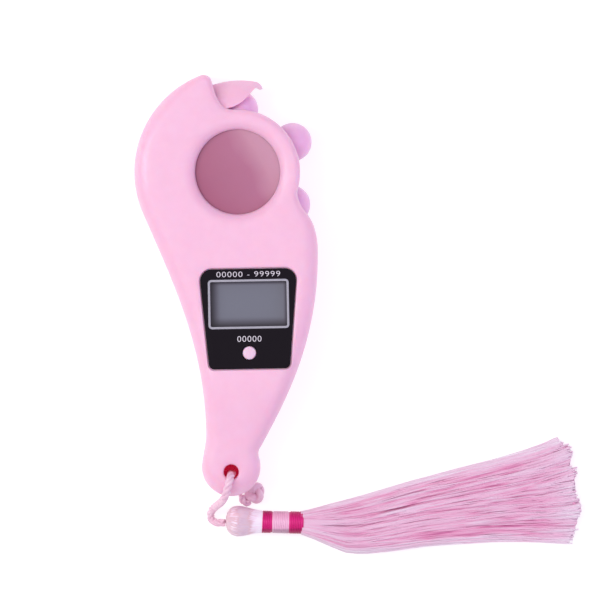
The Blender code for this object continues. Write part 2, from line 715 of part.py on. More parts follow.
def front_shell(look):
    """Moulded front half: window ring, hood, panel recess and screw bosses."""
    shell = solid("front_shell", half_block(1, TAIL_FRONT_SHARE), look)
    lip_z = RING_BOTTOM_Z + PANE_LIFT + PANE_THICKNESS + SEAT_GAP
    panel_floor = PANEL_Z - SEAT_GAP
    display = (PANEL_OFFSET, DISPLAY_Y)
    button = (PANEL_OFFSET, BUTTON_Y)
    opening = rectangle(
        display,
        DISPLAY_WIDTH - 2 * DISPLAY_LINE,
        DISPLAY_HEIGHT - 2 * DISPLAY_LINE,
        DISPLAY_CORNER - DISPLAY_LINE,
    )
    combine(shell, "DIFFERENCE", [
        ("chamber", prism(circle(CHAMBER_RADIUS, steps=48), SPLIT_Z - OVERRUN, RING_BOTTOM_Z)),
        ("cavity", cavity(1, FRONT_WALL, TAIL_FRONT_SHARE)),
        ("window", window_cutter()),
        ("pane_pocket", prism(
            circle(WINDOW_RADIUS + PANE_LEDGE + SEAT_GAP), RING_BOTTOM_Z - OVERRUN, lip_z,
        )),
        ("panel_recess", prism(panel_outline(PANEL_SIDE_GAP), panel_floor, FRONT_Z + OVERRUN)),
        ("display_opening", prism(opening, FRONT_INNER_Z - OVERRUN, FRONT_Z)),
        ("button_hole", prism(
            circle(BUTTON_RADIUS + SEAT_GAP, button, SMALL_STEPS), FRONT_INNER_Z - OVERRUN, FRONT_Z,
        )),
    ])
    boss = BOSS_WALL + SMALL_SCREW_RADIUS + SEAT_GAP
    combine(shell, "UNION", [
        (f"boss_{i + 1}", prism(
            circle(boss, place, SMALL_STEPS), BOARD_TOP_Z + SEAT_GAP, FRONT_INNER_Z + FRONT_WALL / 3,
        ))
        for i, place in enumerate(BOARD_SCREWS)
    ])
    combine(shell, "UNION", [("hood", hood())])
    holes = [
        (f"boss_hole_{i + 1}", prism(
            circle(SMALL_SCREW_RADIUS + SEAT_GAP, place, SMALL_STEPS), BOARD_Z, BOARD_SCREW_TOP + SEAT_GAP,
        ))
        for i, place in enumerate(BOARD_SCREWS)
    ]
    for i, place in enumerate(CASE_SCREWS):
        tip = screw_levels(place[1])[2] + SEAT_GAP
        hole = circle(SCREW_RADIUS + SEAT_GAP, place, SMALL_STEPS)
        holes.append((f"case_hole_{i + 1}", prism(hole, SPLIT_Z - OVERRUN, tip)))
    for i, angle in enumerate(PEG_ANGLES):
        hole = circle(PEG_RADIUS + SEAT_GAP, mid_wall(angle), SMALL_STEPS)
        holes.append((f"peg_hole_{i + 1}", prism(hole, SPLIT_Z - OVERRUN, SPLIT_Z + PEG_HEIGHT + SEAT_GAP)))
    holes.append(("tail_hole", prism(circle(TAIL_HOLE_RADIUS, TAIL_HOLE, 24), SPLIT_Z - OVERRUN, FRONT_Z)))
    combine(shell, "DIFFERENCE", holes)
    return shell


# Rear shell


def door_outline(grow):
    """The battery door's outline, grown on every side."""
    top = CELL_Y + CELL_RADIUS + DOOR_MARGIN
    bottom = DOOR_SCREW[1] - DOOR_SCREW_MARGIN
    centre = (PANEL_OFFSET, (top + bottom) / 2)
    return rectangle(centre, DOOR_WIDTH + 2 * grow, top - bottom + 2 * grow, DOOR_CORNER + grow)


DOOR_SCREW = (PANEL_OFFSET, CELL_Y - CELL_RADIUS - CELL_RIB_WALL - 3 * SCREW_HEAD_RADIUS / 2 - SEAT_GAP)


def rear_shell(look):
    """Moulded rear half: wheel plate, sensor channel, cell well and columns."""
    shell = solid("rear_shell", half_block(-1, TAIL_REAR_SHARE), look)
    channel_z = PLATE_TOP_Z - CHANNEL_DEPTH
    channel_end = BOARD_TOP_Y - FLEX_RISE
    channel_start = -MAGNET_CIRCLE + SENSOR_LENGTH / 2
    channel_centre = (0.0, (channel_start + channel_end) / 2)
    pocket = rectangle((0.0, -MAGNET_CIRCLE), SENSOR_WIDTH + 2 * SEAT_GAP, SENSOR_LENGTH + 2 * SEAT_GAP, 0)
    channel = rectangle(channel_centre, FLEX_WIDTH + 2 * SEAT_GAP, channel_start - channel_end, 0)
    combine(shell, "DIFFERENCE", [
        ("chamber", prism(circle(CHAMBER_RADIUS, steps=48), PLATE_TOP_Z, SPLIT_Z + OVERRUN)),
        ("cavity", cavity(-1, REAR_WALL, TAIL_REAR_SHARE)),
    ])
    rib_inner = CELL_RADIUS + CELL_RIB_GAP
    rib_outer = rib_inner + CELL_RIB_WALL
    rib = lathe([
        (rib_inner, REAR_WALL / 2),
        (rib_outer, REAR_WALL / 2),
        (rib_outer, REAR_WALL + CELL_RIB_HEIGHT),
        (rib_inner, REAR_WALL + CELL_RIB_HEIGHT),
    ], (PANEL_OFFSET, CELL_Y), 28)
    additions = [("cell_rib", rib)]
    column = BOSS_WALL + SMALL_SCREW_RADIUS + 2 * SEAT_GAP
    column_top = DOOR_SEAT_Z + DOOR_SCREW_LENGTH
    column_outline = circle(column, DOOR_SCREW, SMALL_STEPS)
    additions.append(("door_column", prism(column_outline, REAR_WALL / 2, column_top)))
    for i, angle in enumerate(PEG_ANGLES):
        peg = circle(PEG_RADIUS, mid_wall(angle), SMALL_STEPS)
        additions.append((f"peg_{i + 1}", prism(peg, SPLIT_Z - OVERRUN, SPLIT_Z + PEG_HEIGHT)))
    combine(shell, "UNION", additions)
    cuts = [
        ("sensor_pocket", prism(pocket, channel_z, PLATE_TOP_Z + OVERRUN)),
        ("sensor_channel", prism(channel, channel_z, PLATE_TOP_Z + SEAT_GAP)),
        ("axle_seat", prism(
            circle(AXLE_RADIUS + SEAT_GAP, steps=24), PLATE_TOP_Z - AXLE_SEAT_DEPTH, PLATE_TOP_Z + OVERRUN,
        )),
        ("door_recess", prism(door_outline(SEAT_GAP), -OVERRUN, DOOR_SEAT_Z)),
        ("cell_well", prism(
            circle(CELL_RADIUS + SEAT_GAP, (PANEL_OFFSET, CELL_Y), 28), 0.0, REAR_WALL + OVERRUN,
        )),
        ("door_hole", prism(
            circle(SMALL_SCREW_RADIUS + SEAT_GAP, DOOR_SCREW, SMALL_STEPS),
            DOOR_INSET, column_top + OVERRUN,
        )),
        ("tail_hole", prism(circle(TAIL_HOLE_RADIUS, TAIL_HOLE, 24), -OVERRUN, SPLIT_Z + OVERRUN)),
    ]
    for i, place in enumerate(CASE_SCREWS):
        low, high, tip = screw_levels(place[1])
        sunk = circle(SCREW_HEAD_RADIUS + SEAT_GAP, place, SMALL_STEPS)
        hole = circle(SCREW_RADIUS + SEAT_GAP, place, SMALL_STEPS)
        cuts.append((f"case_recess_{i + 1}", prism(sunk, -OVERRUN, high + SEAT_GAP)))
        cuts.append((f"case_hole_{i + 1}", prism(hole, high, SPLIT_Z + OVERRUN)))
    combine(shell, "DIFFERENCE", cuts)
    return shell


# Bead wheel


def bead_angles():
    """Angle of each bead about the wheel, in degrees."""
    return [FIRST_BEAD_ANGLE + 360.0 / BEAD_COUNT * i for i in range(BEAD_COUNT)]


def ball(radius, centre, steps, rings):
    """A sphere with its poles above and below."""
    profile = []
    for k in range(rings + 1):
        angle = -pi / 2 + pi * k / rings
        reach = 0.0 if k in (0, rings) else radius * cos(angle)
        profile.append((reach, centre[2] + radius * sin(angle)))
    return lathe(profile, centre[:2], steps)


def rod(radius, start, end, angle, level, steps=10):
    """A round rod that lies along a radius of the wheel."""
    shape = bmesh.new()
    ends = []
    for reach in (start, end):
        ring = []
        for k in range(steps):
            turn = 2 * pi * k / steps
            x, y = polar(reach, angle)
            side = radius * cos(turn)
            x -= side * sin(radians(angle))
            y += side * cos(radians(angle))
            ring.append(shape.verts.new((x, y, level + radius * sin(turn))))
        ends.append(ring)
    for k in range(steps):
        j = (k + 1) % steps
        shape.faces.new((ends[0][k], ends[0][j], ends[1][j], ends[1][k]))
    shape.faces.new(ends[0][::-1])
    shape.faces.new(ends[1])
    return shape


def bead_wheel(look, parent):
    """Star wheel with a round socket and a spigot hole for each bead."""
    bore = AXLE_RADIUS + SEAT_GAP
    disc_low = SPLIT_Z - WHEEL_THICKNESS / 2
    disc_high = SPLIT_Z + WHEEL_THICKNESS / 2
    hub_low = PLATE_TOP_Z + 2 * SEAT_GAP + WASHER_THICKNESS
    hub_high = RING_BOTTOM_Z - 2 * SEAT_GAP - WASHER_THICKNESS
    wheel = solid("bead_wheel", lathe([
        (bore, hub_low),
        (HUB_RADIUS, hub_low),
        (HUB_RADIUS, disc_low),
        (WHEEL_RADIUS, disc_low),
        (WHEEL_RADIUS, disc_high),
        (HUB_RADIUS, disc_high),
        (HUB_RADIUS, hub_high),
        (bore, hub_high),
    ], steps=ROUND_STEPS), look)
    cuts = []
    for i, angle in enumerate(bead_angles()):
        x, y = polar(BEAD_CIRCLE, angle)
        cuts.append((f"socket_{i + 1}", ball(BEAD_RADIUS + SEAT_GAP, (x, y, SPLIT_Z), 16, 8)))
        cuts.append((f"spigot_hole_{i + 1}", rod(
            SPIGOT_RADIUS + SEAT_GAP, SPIGOT_END - SEAT_GAP, BEAD_CIRCLE, angle, SPLIT_Z,
        )))
        pocket = polar(MAGNET_CIRCLE, angle + 180.0 / BEAD_COUNT)
        cuts.append((f"magnet_pocket_{i + 1}", prism(
            circle(MAGNET_RADIUS + SEAT_GAP, pocket, 16), disc_low - OVERRUN,
            disc_low + MAGNET_HEIGHT + 2 * SEAT_GAP,
        )))
    combine(wheel, "DIFFERENCE", cuts)
    for modifier in wheel.modifiers:
        modifier.object.parent = parent
        modifier.object.data.transform(parent.matrix_basis.inverted())
    hold(wheel, parent)


def beads(look, parent):
    """Six beads, each with a spigot that is pressed into the wheel."""
    for i, angle in enumerate(bead_angles()):
        x, y = polar(BEAD_CIRCLE, angle)
        bead = solid(f"bead_{i + 1}", ball(BEAD_RADIUS, (x, y, SPLIT_Z), 20, 10), look)
        spigot = rod(SPIGOT_RADIUS, SPIGOT_END, BEAD_CIRCLE - BEAD_RADIUS / 2, angle, SPLIT_Z)
        combine(bead, "UNION", [("spigot", spigot)])
        for modifier in bead.modifiers:
            modifier.object.parent = parent
            modifier.object.data.transform(parent.matrix_basis.inverted())
        hold(bead, parent)


def wheel_magnets(look, parent):
    """A magnet in the wheel between each two beads."""
    low = SPLIT_Z - WHEEL_THICKNESS / 2 + SEAT_GAP
    for i, angle in enumerate(bead_angles()):
        place = polar(MAGNET_CIRCLE, angle + 180.0 / BEAD_COUNT)
        shape = prism(circle(MAGNET_RADIUS, place, 16), low, low + MAGNET_HEIGHT)
        hold(solid(f"wheel_magnet_{i + 1}", shape, look), parent)


def axle(look):
    """Pin in the rear plate, with the wheel's washer and its retaining ring."""
    low = PLATE_TOP_Z - AXLE_SEAT_DEPTH + SEAT_GAP
    high = RING_BOTTOM_Z - SEAT_GAP / 2
    chamfer = SEAT_GAP
    solid("wheel_axle", lathe([
        (0.0, low),
        (AXLE_RADIUS - chamfer, low),
        (AXLE_RADIUS, low + chamfer),
        (AXLE_RADIUS, high - chamfer),
        (AXLE_RADIUS - chamfer, high),
        (0.0, high),
    ], steps=24), look)
    for name, level in (
        ("axle_washer", PLATE_TOP_Z + SEAT_GAP),
        ("axle_ring", RING_BOTTOM_Z - SEAT_GAP - WASHER_THICKNESS),
    ):
        solid(name, lathe([
            (AXLE_RADIUS + SEAT_GAP, level),
            (WASHER_RADIUS, level),
            (WASHER_RADIUS, level + WASHER_THICKNESS),
            (AXLE_RADIUS + SEAT_GAP, level + WASHER_THICKNESS),
        ], steps=24), look)


def window_pane(look):
    """Round pane against the ledge behind the window."""
    low = RING_BOTTOM_Z + PANE_LIFT
    solid("window_pane", prism(circle(WINDOW_RADIUS + PANE_LEDGE), low, low + PANE_THICKNESS), look)


# Front panel


def panel_parts(panel_look, frame_look):
    """Black panel with two holes, and the thin frame round the display."""
    panel = solid("label_plate", prism(panel_outline(0.0), PANEL_Z, PANEL_Z + PANEL_THICKNESS), panel_look)
    display = (PANEL_OFFSET, DISPLAY_Y)
    hole = rectangle(
        display,
        DISPLAY_WIDTH + 2 * PANEL_SIDE_GAP,
        DISPLAY_HEIGHT + 2 * PANEL_SIDE_GAP,
        DISPLAY_CORNER + PANEL_SIDE_GAP,
    )
    button_hole = circle(BUTTON_RADIUS + SEAT_GAP, (PANEL_OFFSET, BUTTON_Y), 24)
    combine(panel, "DIFFERENCE", [
        ("display_hole", prism(hole, PANEL_Z - OVERRUN, FRONT_Z + OVERRUN)),
        ("button_hole", prism(button_hole, PANEL_Z - OVERRUN, FRONT_Z + OVERRUN)),
    ])
    outer = rectangle(display, DISPLAY_WIDTH, DISPLAY_HEIGHT, DISPLAY_CORNER)
    inner = rectangle(
        display,
        DISPLAY_WIDTH - 2 * DISPLAY_LINE,
        DISPLAY_HEIGHT - 2 * DISPLAY_LINE,
        DISPLAY_CORNER - DISPLAY_LINE,
    )
    frame_top = PANEL_Z + PANEL_THICKNESS + PANEL_INSET / 2
    frame = solid("display_frame", prism(outer, PANEL_Z, frame_top), frame_look)
    combine(frame, "DIFFERENCE", [("opening", prism(inner, PANEL_Z - OVERRUN, FRONT_Z + OVERRUN))])


def display_parts(glass_look, holder_look, rubber_look):
    """Display glass, its holder and the rubber connector under its lower edge."""
    centre = (PANEL_OFFSET, DISPLAY_Y)
    glass = rectangle(centre, GLASS_WIDTH, GLASS_HEIGHT, 0)
    solid("lcd_glass", prism(glass, GLASS_Z, GLASS_TOP_Z), glass_look)
    low = BOARD_TOP_Z + SEAT_GAP
    grown = 2 * (SEAT_GAP + HOLDER_WALL)
    outer = rectangle(centre, GLASS_WIDTH + grown, GLASS_HEIGHT + grown, HOLDER_WALL)
    pocket = rectangle(centre, GLASS_WIDTH + 2 * SEAT_GAP, GLASS_HEIGHT + 2 * SEAT_GAP, 0)
    well = rectangle(centre, GLASS_WIDTH - 2 * HOLDER_LEDGE, GLASS_HEIGHT - 2 * HOLDER_LEDGE, 0)
    holder = solid("lcd_holder", prism(outer, low, GLASS_TOP_Z), holder_look)
    combine(holder, "DIFFERENCE", [
        ("pocket", prism(pocket, GLASS_Z - SEAT_GAP, FRONT_Z)),
        ("well", prism(well, low - OVERRUN, FRONT_Z)),
    ])
    y = DISPLAY_Y - GLASS_HEIGHT / 2 + HOLDER_LEDGE + SEAT_GAP + ZEBRA_WIDTH / 2
    strip = rectangle((PANEL_OFFSET, y), ZEBRA_LENGTH, ZEBRA_WIDTH, 0)
    solid("zebra_strip", prism(strip, low, GLASS_Z - SEAT_GAP), rubber_look)


def main_board(board_look, chip_look):
    """Circuit board that follows the body's inside, and its bonded chip."""
    depth = SIDE_WALL + 2 * SEAT_GAP
    points = band(inset(OUTLINE, [depth] * len(OUTLINE)), BOARD_BOTTOM_Y, BOARD_TOP_Y)
    board = solid("main_board", prism(points, BOARD_Z, BOARD_TOP_Z), board_look)
    combine(board, "DIFFERENCE", [
        (f"screw_hole_{i + 1}", prism(
            circle(SMALL_SCREW_RADIUS + SEAT_GAP, place, SMALL_STEPS),
            BOARD_Z - OVERRUN, BOARD_TOP_Z + OVERRUN,
        ))
        for i, place in enumerate(BOARD_SCREWS)
    ])
    low = BOARD_TOP_Z + SEAT_GAP
    centre = (PANEL_OFFSET, DISPLAY_Y + CHIP_RADIUS / 2)
    dome = [(CHIP_RADIUS * reach, low + CHIP_HEIGHT * rise) for reach, rise in CHIP_DOME_SHARES]
    solid("chip_blob", lathe([(0.0, low), *dome], centre, 16), chip_look)


def reset_parts(button_look, switch_look, plunger_look, parent):
    """Reset button, the plunger under it, and the switch body on the board."""
    place = (PANEL_OFFSET, BUTTON_Y)
    low = BOARD_TOP_Z + SEAT_GAP
    body_top = low + SWITCH_HEIGHT
    plunger_top = body_top + PLUNGER_PROUD
    stem_low = plunger_top + SEAT_GAP
    flange_top = FRONT_INNER_Z - SEAT_GAP
    flange_low = flange_top - BUTTON_FLANGE_HEIGHT
    top = FRONT_Z + BUTTON_PROUD
    dome = [
        (BUTTON_RADIUS * reach, top - BUTTON_PROUD * (1 - rise))
        for reach, rise in BUTTON_DOME_SHARES
    ]
    bore = PLUNGER_RADIUS + SEAT_GAP
    square = rectangle(place, SWITCH_SIZE, SWITCH_SIZE, 0)
    body = solid("reset_switch", prism(square, low, body_top), switch_look)
    floor = plunger_top - PLUNGER_LENGTH - BUTTON_TRAVEL - SEAT_GAP
    combine(body, "DIFFERENCE", [("bore", prism(circle(bore, place, 16), floor, body_top + OVERRUN))])
    plunger = prism(circle(PLUNGER_RADIUS, place, 16), plunger_top - PLUNGER_LENGTH, plunger_top)
    hold(solid("switch_plunger", plunger, plunger_look), parent)
    button = lathe([
        (0.0, stem_low),
        (PLUNGER_RADIUS + SEAT_GAP, stem_low),
        (PLUNGER_RADIUS + SEAT_GAP, flange_low),
        (BUTTON_FLANGE, flange_low),
        (BUTTON_FLANGE, flange_top),
        (BUTTON_RADIUS, flange_top),
        *dome,
    ], place, 20)
    hold(solid("reset_button", button, button_look), parent)


# Cell and its contacts


def cell_parts(cell_look, contact_look):
    """Button cell, the leaf above it and the leaf at its side."""
    centre = (PANEL_OFFSET, CELL_Y)
    chamfer = SEAT_GAP
    low = DOOR_SEAT_Z
    solid("button_cell", lathe([
        (0.0, low),
        (CELL_RADIUS - chamfer, low),
        (CELL_RADIUS, low + chamfer),
        (CELL_RADIUS, CELL_TOP_Z - 2 * chamfer),
        (CELL_RADIUS - 2 * chamfer, CELL_TOP_Z - 2 * chamfer),
        (CELL_RADIUS - 3 * chamfer, CELL_TOP_Z),
        (0.0, CELL_TOP_Z),
    ], centre, 28), cell_look)
    leaf = rectangle((PANEL_OFFSET - CELL_RADIUS / 4, CELL_Y), CELL_RADIUS, CONTACT_WIDTH, 0)
    solid("contact_top", prism(leaf, CONTACT_Z, CONTACT_Z + CONTACT_THICKNESS), contact_look)
    inner = PANEL_OFFSET - CELL_RADIUS - SEAT_GAP
    outer = inner - CONTACT_THICKNESS
    foot = outer - CONTACT_FOOT
    low = REAR_WALL + SEAT_GAP
    high = CONTACT_Z + CONTACT_THICKNESS
    profile = [
        (inner, low),
        (outer, low),
        (outer, CONTACT_Z),
        (foot, CONTACT_Z),
        (foot, high),
        (inner, high),
    ]
    shape = bmesh.new()
    sides = []
    for y in (CELL_Y - CONTACT_WIDTH / 2, CELL_Y + CONTACT_WIDTH / 2):
        sides.append([shape.verts.new((x, y, z)) for x, z in profile])
    shape.faces.new(sides[0])
    shape.faces.new(sides[1][::-1])
    for i in range(len(profile)):
        j = (i + 1) % len(profile)
        shape.faces.new((sides[0][i], sides[0][j], sides[1][j], sides[1][i]))
    solid("contact_side", shape, contact_look)


def battery_door(look):
    """Flat door with a grip of three grooves and its screw's recess."""
    door = solid("battery_door", prism(door_outline(0.0), DOOR_INSET, DOOR_INSET + DOOR_THICKNESS), look)
    head = SMALL_HEAD_RADIUS + SEAT_GAP
    cuts = [
        ("screw_recess", prism(
            circle(head, DOOR_SCREW, SMALL_STEPS), -OVERRUN, DOOR_INSET + SMALL_HEAD_HEIGHT + SEAT_GAP,
        )),
        ("screw_hole", prism(
            circle(SMALL_SCREW_RADIUS + SEAT_GAP, DOOR_SCREW, SMALL_STEPS), 0.0, DOOR_SEAT_Z + OVERRUN,
        )),
    ]
    for i in range(DOOR_GRIP_COUNT):
        y = CELL_Y + CELL_RADIUS / 2 + (i - (DOOR_GRIP_COUNT - 1) / 2) * DOOR_GRIP_PITCH
        groove = rectangle((PANEL_OFFSET, y), DOOR_GRIP_LENGTH, DOOR_GRIP_WIDTH, 0)
        cuts.append((f"groove_{i + 1}", prism(groove, -OVERRUN, DOOR_INSET + DOOR_GRIP_DEPTH)))
    combine(door, "DIFFERENCE", cuts)


# Sensor


def sensor_parts(sensor_look, flex_look):
    """Magnetic sensor in the rear plate, and its flat lead up to the board."""
    low = PLATE_TOP_Z - CHANNEL_DEPTH + SEAT_GAP
    place = rectangle((0.0, -MAGNET_CIRCLE), SENSOR_WIDTH, SENSOR_LENGTH, 0)
    solid("hall_sensor", prism(place, low, low + SENSOR_HEIGHT), sensor_look)
    start = -MAGNET_CIRCLE - SENSOR_LENGTH / 2 - SEAT_GAP
    rise = BOARD_TOP_Y - FLEX_RISE / 2
    high = BOARD_Z - SEAT_GAP
    profile = [
        (start, low),
        (rise, low),
        (rise, high),
        (rise + FLEX_THICKNESS, high),
        (rise + FLEX_THICKNESS, low + FLEX_THICKNESS),
        (start, low + FLEX_THICKNESS),
    ]
    shape = bmesh.new()
    sides = []
    for x in (-FLEX_WIDTH / 2, FLEX_WIDTH / 2):
        sides.append([shape.verts.new((x, y, z)) for y, z in profile])
    shape.faces.new(sides[0])
    shape.faces.new(sides[1][::-1])
    for i in range(len(profile)):
        j = (i + 1) % len(profile)
        shape.faces.new((sides[0][i], sides[0][j], sides[1][j], sides[1][i]))
    solid("sensor_flex", shape, flex_look)


# Screws


def screw(name, place, head_low, head_high, tip, radius, head_radius, look):
    """A pan head screw that points up, with a slot in its head."""
    reach, rise = SCREW_CROWN_SHARES
    made = solid(name, lathe([
        (0.0, head_low),
        (head_radius * reach, head_low),
        (head_radius, head_low + (head_high - head_low) * rise),
        (head_radius, head_high),
        (radius, head_high),
        (radius, tip - radius),
        (0.0, tip),
    ], place, SMALL_STEPS), look)
    depth = (head_high - head_low) / 2
    slot = rectangle(place, 2 * head_radius + OVERRUN, SCREW_SLOT, 0)
    combine(made, "DIFFERENCE", [("slot", prism(slot, head_low - OVERRUN, head_low + depth))])


def screws(look):
    """Case screws, board screws and the door screw."""
    for i, place in enumerate(CASE_SCREWS):
        low, high, tip = screw_levels(place[1])
        screw(f"case_screw_{i + 1}", place, low, high, tip, SCREW_RADIUS, SCREW_HEAD_RADIUS, look)
    for i, place in enumerate(BOARD_SCREWS):
        high = BOARD_Z - SEAT_GAP
        low = high - SMALL_HEAD_HEIGHT
        screw(
            f"board_screw_{i + 1}", place, low, high, BOARD_SCREW_TOP,
            SMALL_SCREW_RADIUS, SMALL_HEAD_RADIUS, look,
        )
    screw(
        "door_screw", DOOR_SCREW, DOOR_INSET, DOOR_INSET + SMALL_HEAD_HEIGHT,
        DOOR_SEAT_Z + DOOR_SCREW_LENGTH, SMALL_SCREW_RADIUS, SMALL_HEAD_RADIUS, look,
    )


# Cord and tassel

# Route of the cord in millimetres: knot, up through the tail's hole, over the
# tail's end and round to the tassel's head
CORD_ROUTE = (
    (0.15, -69.75, 2.10),
    (-0.95, -68.60, 1.80),
    (-2.00, -67.30, 2.10),
    (-2.55, -66.30, 3.60),
    (-2.62, -65.98, 6.50),
    (-2.62, -65.98, 10.00),
    (-2.62, -66.05, 13.20),
    (-2.75, -66.90, 14.95),
    (-3.20, -68.70, 14.95),
    (-3.75, -70.50, 14.60),
    (-4.30, -71.80, 13.20),
    (-4.90, -72.60, 10.60),
    (-5.60, -73.20, 7.20),
    (-6.50, -73.90, 4.20),
    (-7.20, -74.80, 2.10),
    (-7.35, -75.90, 1.35),
    (-6.70, -76.95, 1.80),
    (-5.60, -77.25, 2.80),
    (-4.25, -77.20, 3.45),
)
CORD_END_ROUTE = (
    (0.62, -72.35, 2.20),
    (0.05, -72.60, 2.35),
    (-0.30, -72.95, 2.70),
    (-0.45, -73.35, 3.10),
)
KNOT_CENTRE = (2.48 * MM, -70.80 * MM, 2.45 * MM)
KNOT_RADII = (2.1 * MM, 2.2 * MM, 2.1 * MM)


def smooth_route(points, count):
    """Even points on the smooth curve through a list of points."""
    ends = [points[0], *points, points[-1]]
    fine = []
    for i in range(len(points) - 1):
        p0, p1, p2, p3 = (Vector(p) for p in ends[i:i + 4])
        for k in range(16):
            t = k / 16
            fine.append(0.5 * (
                2 * p1 + (p2 - p0) * t + (2 * p0 - 5 * p1 + 4 * p2 - p3) * t ** 2
                + (3 * p1 - p0 - 3 * p2 + p3) * t ** 3
            ))
    fine.append(Vector(points[-1]))
    lengths = [0.0]
    for a, b in zip(fine, fine[1:]):
        lengths.append(lengths[-1] + (b - a).length)
    even = []
    place = 0
    for i in range(count):
        target = lengths[-1] * i / (count - 1)
        while place < len(fine) - 2 and lengths[place + 1] < target:
            place += 1
        share = (target - lengths[place]) / (lengths[place + 1] - lengths[place])
        even.append(fine[place].lerp(fine[place + 1], min(1.0, share)))
    return even


def cord(name, route, look):
    """A round cord along a smooth route."""
    places = [tuple(MM * value for value in point) for point in route]
    fine = smooth_route(places, 200)
    length = sum((b - a).length for a, b in zip(fine, fine[1:]))
    count = max(4, ceil(length / (2 * CORD_RADIUS)))
    points = smooth_route(places, count)
    curve = bpy.data.curves.new(name, "CURVE")
    curve.dimensions = "3D"
    curve.bevel_depth = CORD_RADIUS
    curve.bevel_resolution = 2
    curve.use_fill_caps = True
    spline = curve.splines.new("POLY")
    spline.points.add(len(points) - 1)
    for slot, point in zip(spline.points, points):
        slot.co = (*point, 1.0)
    curve.materials.append(look)
    made = bpy.data.objects.new(name, curve)
    bpy.context.collection.objects.link(made)
    return length


def along_x(profile, centre, steps):
    """Turn a closed profile of (radius, x) points about a line along +X."""
    shape = bmesh.new()
    rings = []
    for radius, x in profile:
        if radius == 0:
            rings.append([shape.verts.new((x, centre[0], centre[1]))] * steps)
            continue
        rings.append([
            shape.verts.new((x, centre[0] + a, centre[1] + b))
            for a, b in circle(radius, (0.0, 0.0), steps)
        ])
    for i, ring in enumerate(rings):
        after = rings[(i + 1) % len(rings)]
        for k in range(steps):
            j = (k + 1) % steps
            loop = []
            for vertex in (ring[k], ring[j], after[j], after[k]):
                if vertex not in loop:
                    loop.append(vertex)
            if len(loop) > 2:
                shape.faces.new(loop)
    return shape


# Fringe: share of its length, and centre y, half width and half thickness
SKIRT_LENGTH = 60.0 * MM
SKIRT_SETTLE_SHARE = 0.12
SKIRT_RAGGED_SHARE = 0.02
SKIRT_WAVE_SHARE = 0.04
SKIRT_SECTIONS = (
    (0.00, -77.60 * MM, 2.60 * MM, 2.35 * MM),
    (0.05, -77.96 * MM, 3.80 * MM, 2.40 * MM),
    (0.12, -78.39 * MM, 5.20 * MM, 2.50 * MM),
    (0.20, -78.32 * MM, 6.30 * MM, 2.50 * MM),
    (0.45, -75.54 * MM, 7.60 * MM, 2.40 * MM),
    (0.65, -73.80 * MM, 8.75 * MM, 2.20 * MM),
    (0.78, -72.78 * MM, 9.75 * MM, 2.00 * MM),
    (0.90, -71.76 * MM, 11.10 * MM, 1.80 * MM),
    (0.96, -71.85 * MM, 11.00 * MM, 1.60 * MM),
    (1.00, -73.00 * MM, 8.20 * MM, 1.20 * MM),
)


def tassel(head_look, deep_look, pale_look, skirt_look):
    """Head with a core, three thread wraps on the core, and the fringe."""
    start, y = TASSEL_START
    level = TASSEL_HEAD_RADIUS + TASSEL_REST
    neck = start + TASSEL_HEAD_LENGTH
    core_end = neck + sum(WRAP_LENGTHS) + SEAT_GAP * len(WRAP_LENGTHS)
    profile = [(0.0, start)]
    for along, wide in TASSEL_HEAD_SHARES:
        profile.append((TASSEL_HEAD_RADIUS * wide, start + TASSEL_HEAD_LENGTH * along))
    profile.append((TASSEL_NECK_RADIUS, neck))
    profile.append((TASSEL_CORE_RADIUS, neck))
    profile.append((TASSEL_CORE_RADIUS, core_end))
    profile.append((0.0, core_end))
    solid("tassel_head", along_x(profile, (y, level), 16), head_look)
    x = neck + SEAT_GAP
    for i, length in enumerate(WRAP_LENGTHS):
        look = pale_look if i == 1 else deep_look
        bevel = SEAT_GAP
        solid(f"tassel_wrap_{i + 1}", along_x([
            (TASSEL_CORE_RADIUS + SEAT_GAP, x),
            (TASSEL_NECK_RADIUS - bevel, x),
            (TASSEL_NECK_RADIUS, x + bevel),
            (TASSEL_NECK_RADIUS, x + length - bevel),
            (TASSEL_NECK_RADIUS - bevel, x + length),
            (TASSEL_CORE_RADIUS + SEAT_GAP, x + length),
        ], (y, level), 16), look)
        x += length + SEAT_GAP
    tassel_skirt(max(x, core_end + SEAT_GAP), level, skirt_look)


def tassel_skirt(start, level, look):
    """The fringe: a flat sheaf that fans out and rests on the floor."""
    steps = 20
    shape = bmesh.new()
    rings = []
    for share, centre_y, half_width, half_height in SKIRT_SECTIONS:
        settle = min(1.0, share / SKIRT_SETTLE_SHARE)
        middle = level + (half_height + TASSEL_REST - level) * settle
        ring = []
        for k in range(steps):
            angle = 2 * pi * k / steps
            ragged = SKIRT_LENGTH * SKIRT_RAGGED_SHARE * sin(3.0 * angle + 0.6) * share ** 4
            wave = 1 + SKIRT_WAVE_SHARE * sin(5 * angle) * share
            x = start + SKIRT_LENGTH * share + ragged
            ring.append(shape.verts.new((
                x, centre_y + half_width * cos(angle) * wave, middle + half_height * sin(angle),
            )))
        rings.append(ring)
    for low, high in zip(rings, rings[1:]):
        for k in range(steps):
            j = (k + 1) % steps
            shape.faces.new((low[k], low[j], high[j], high[k]))
    shape.faces.new(rings[0][::-1])
    shape.faces.new(rings[-1])
    bmesh.ops.triangulate(shape, faces=shape.faces)
    solid("tassel_skirt", shape, look)


def knot(look):
    """The cord's knot, a lump behind the tail."""
    x, y, z = KNOT_CENTRE
    shape = ball(1.0, (0.0, 0.0, 0.0), 16, 8)
    for vertex in shape.verts:
        vertex.co.x = x + vertex.co.x * KNOT_RADII[0]
        vertex.co.y = y + vertex.co.y * KNOT_RADII[1]
        vertex.co.z = z + vertex.co.z * KNOT_RADII[2]
    solid("cord_knot", shape, look)


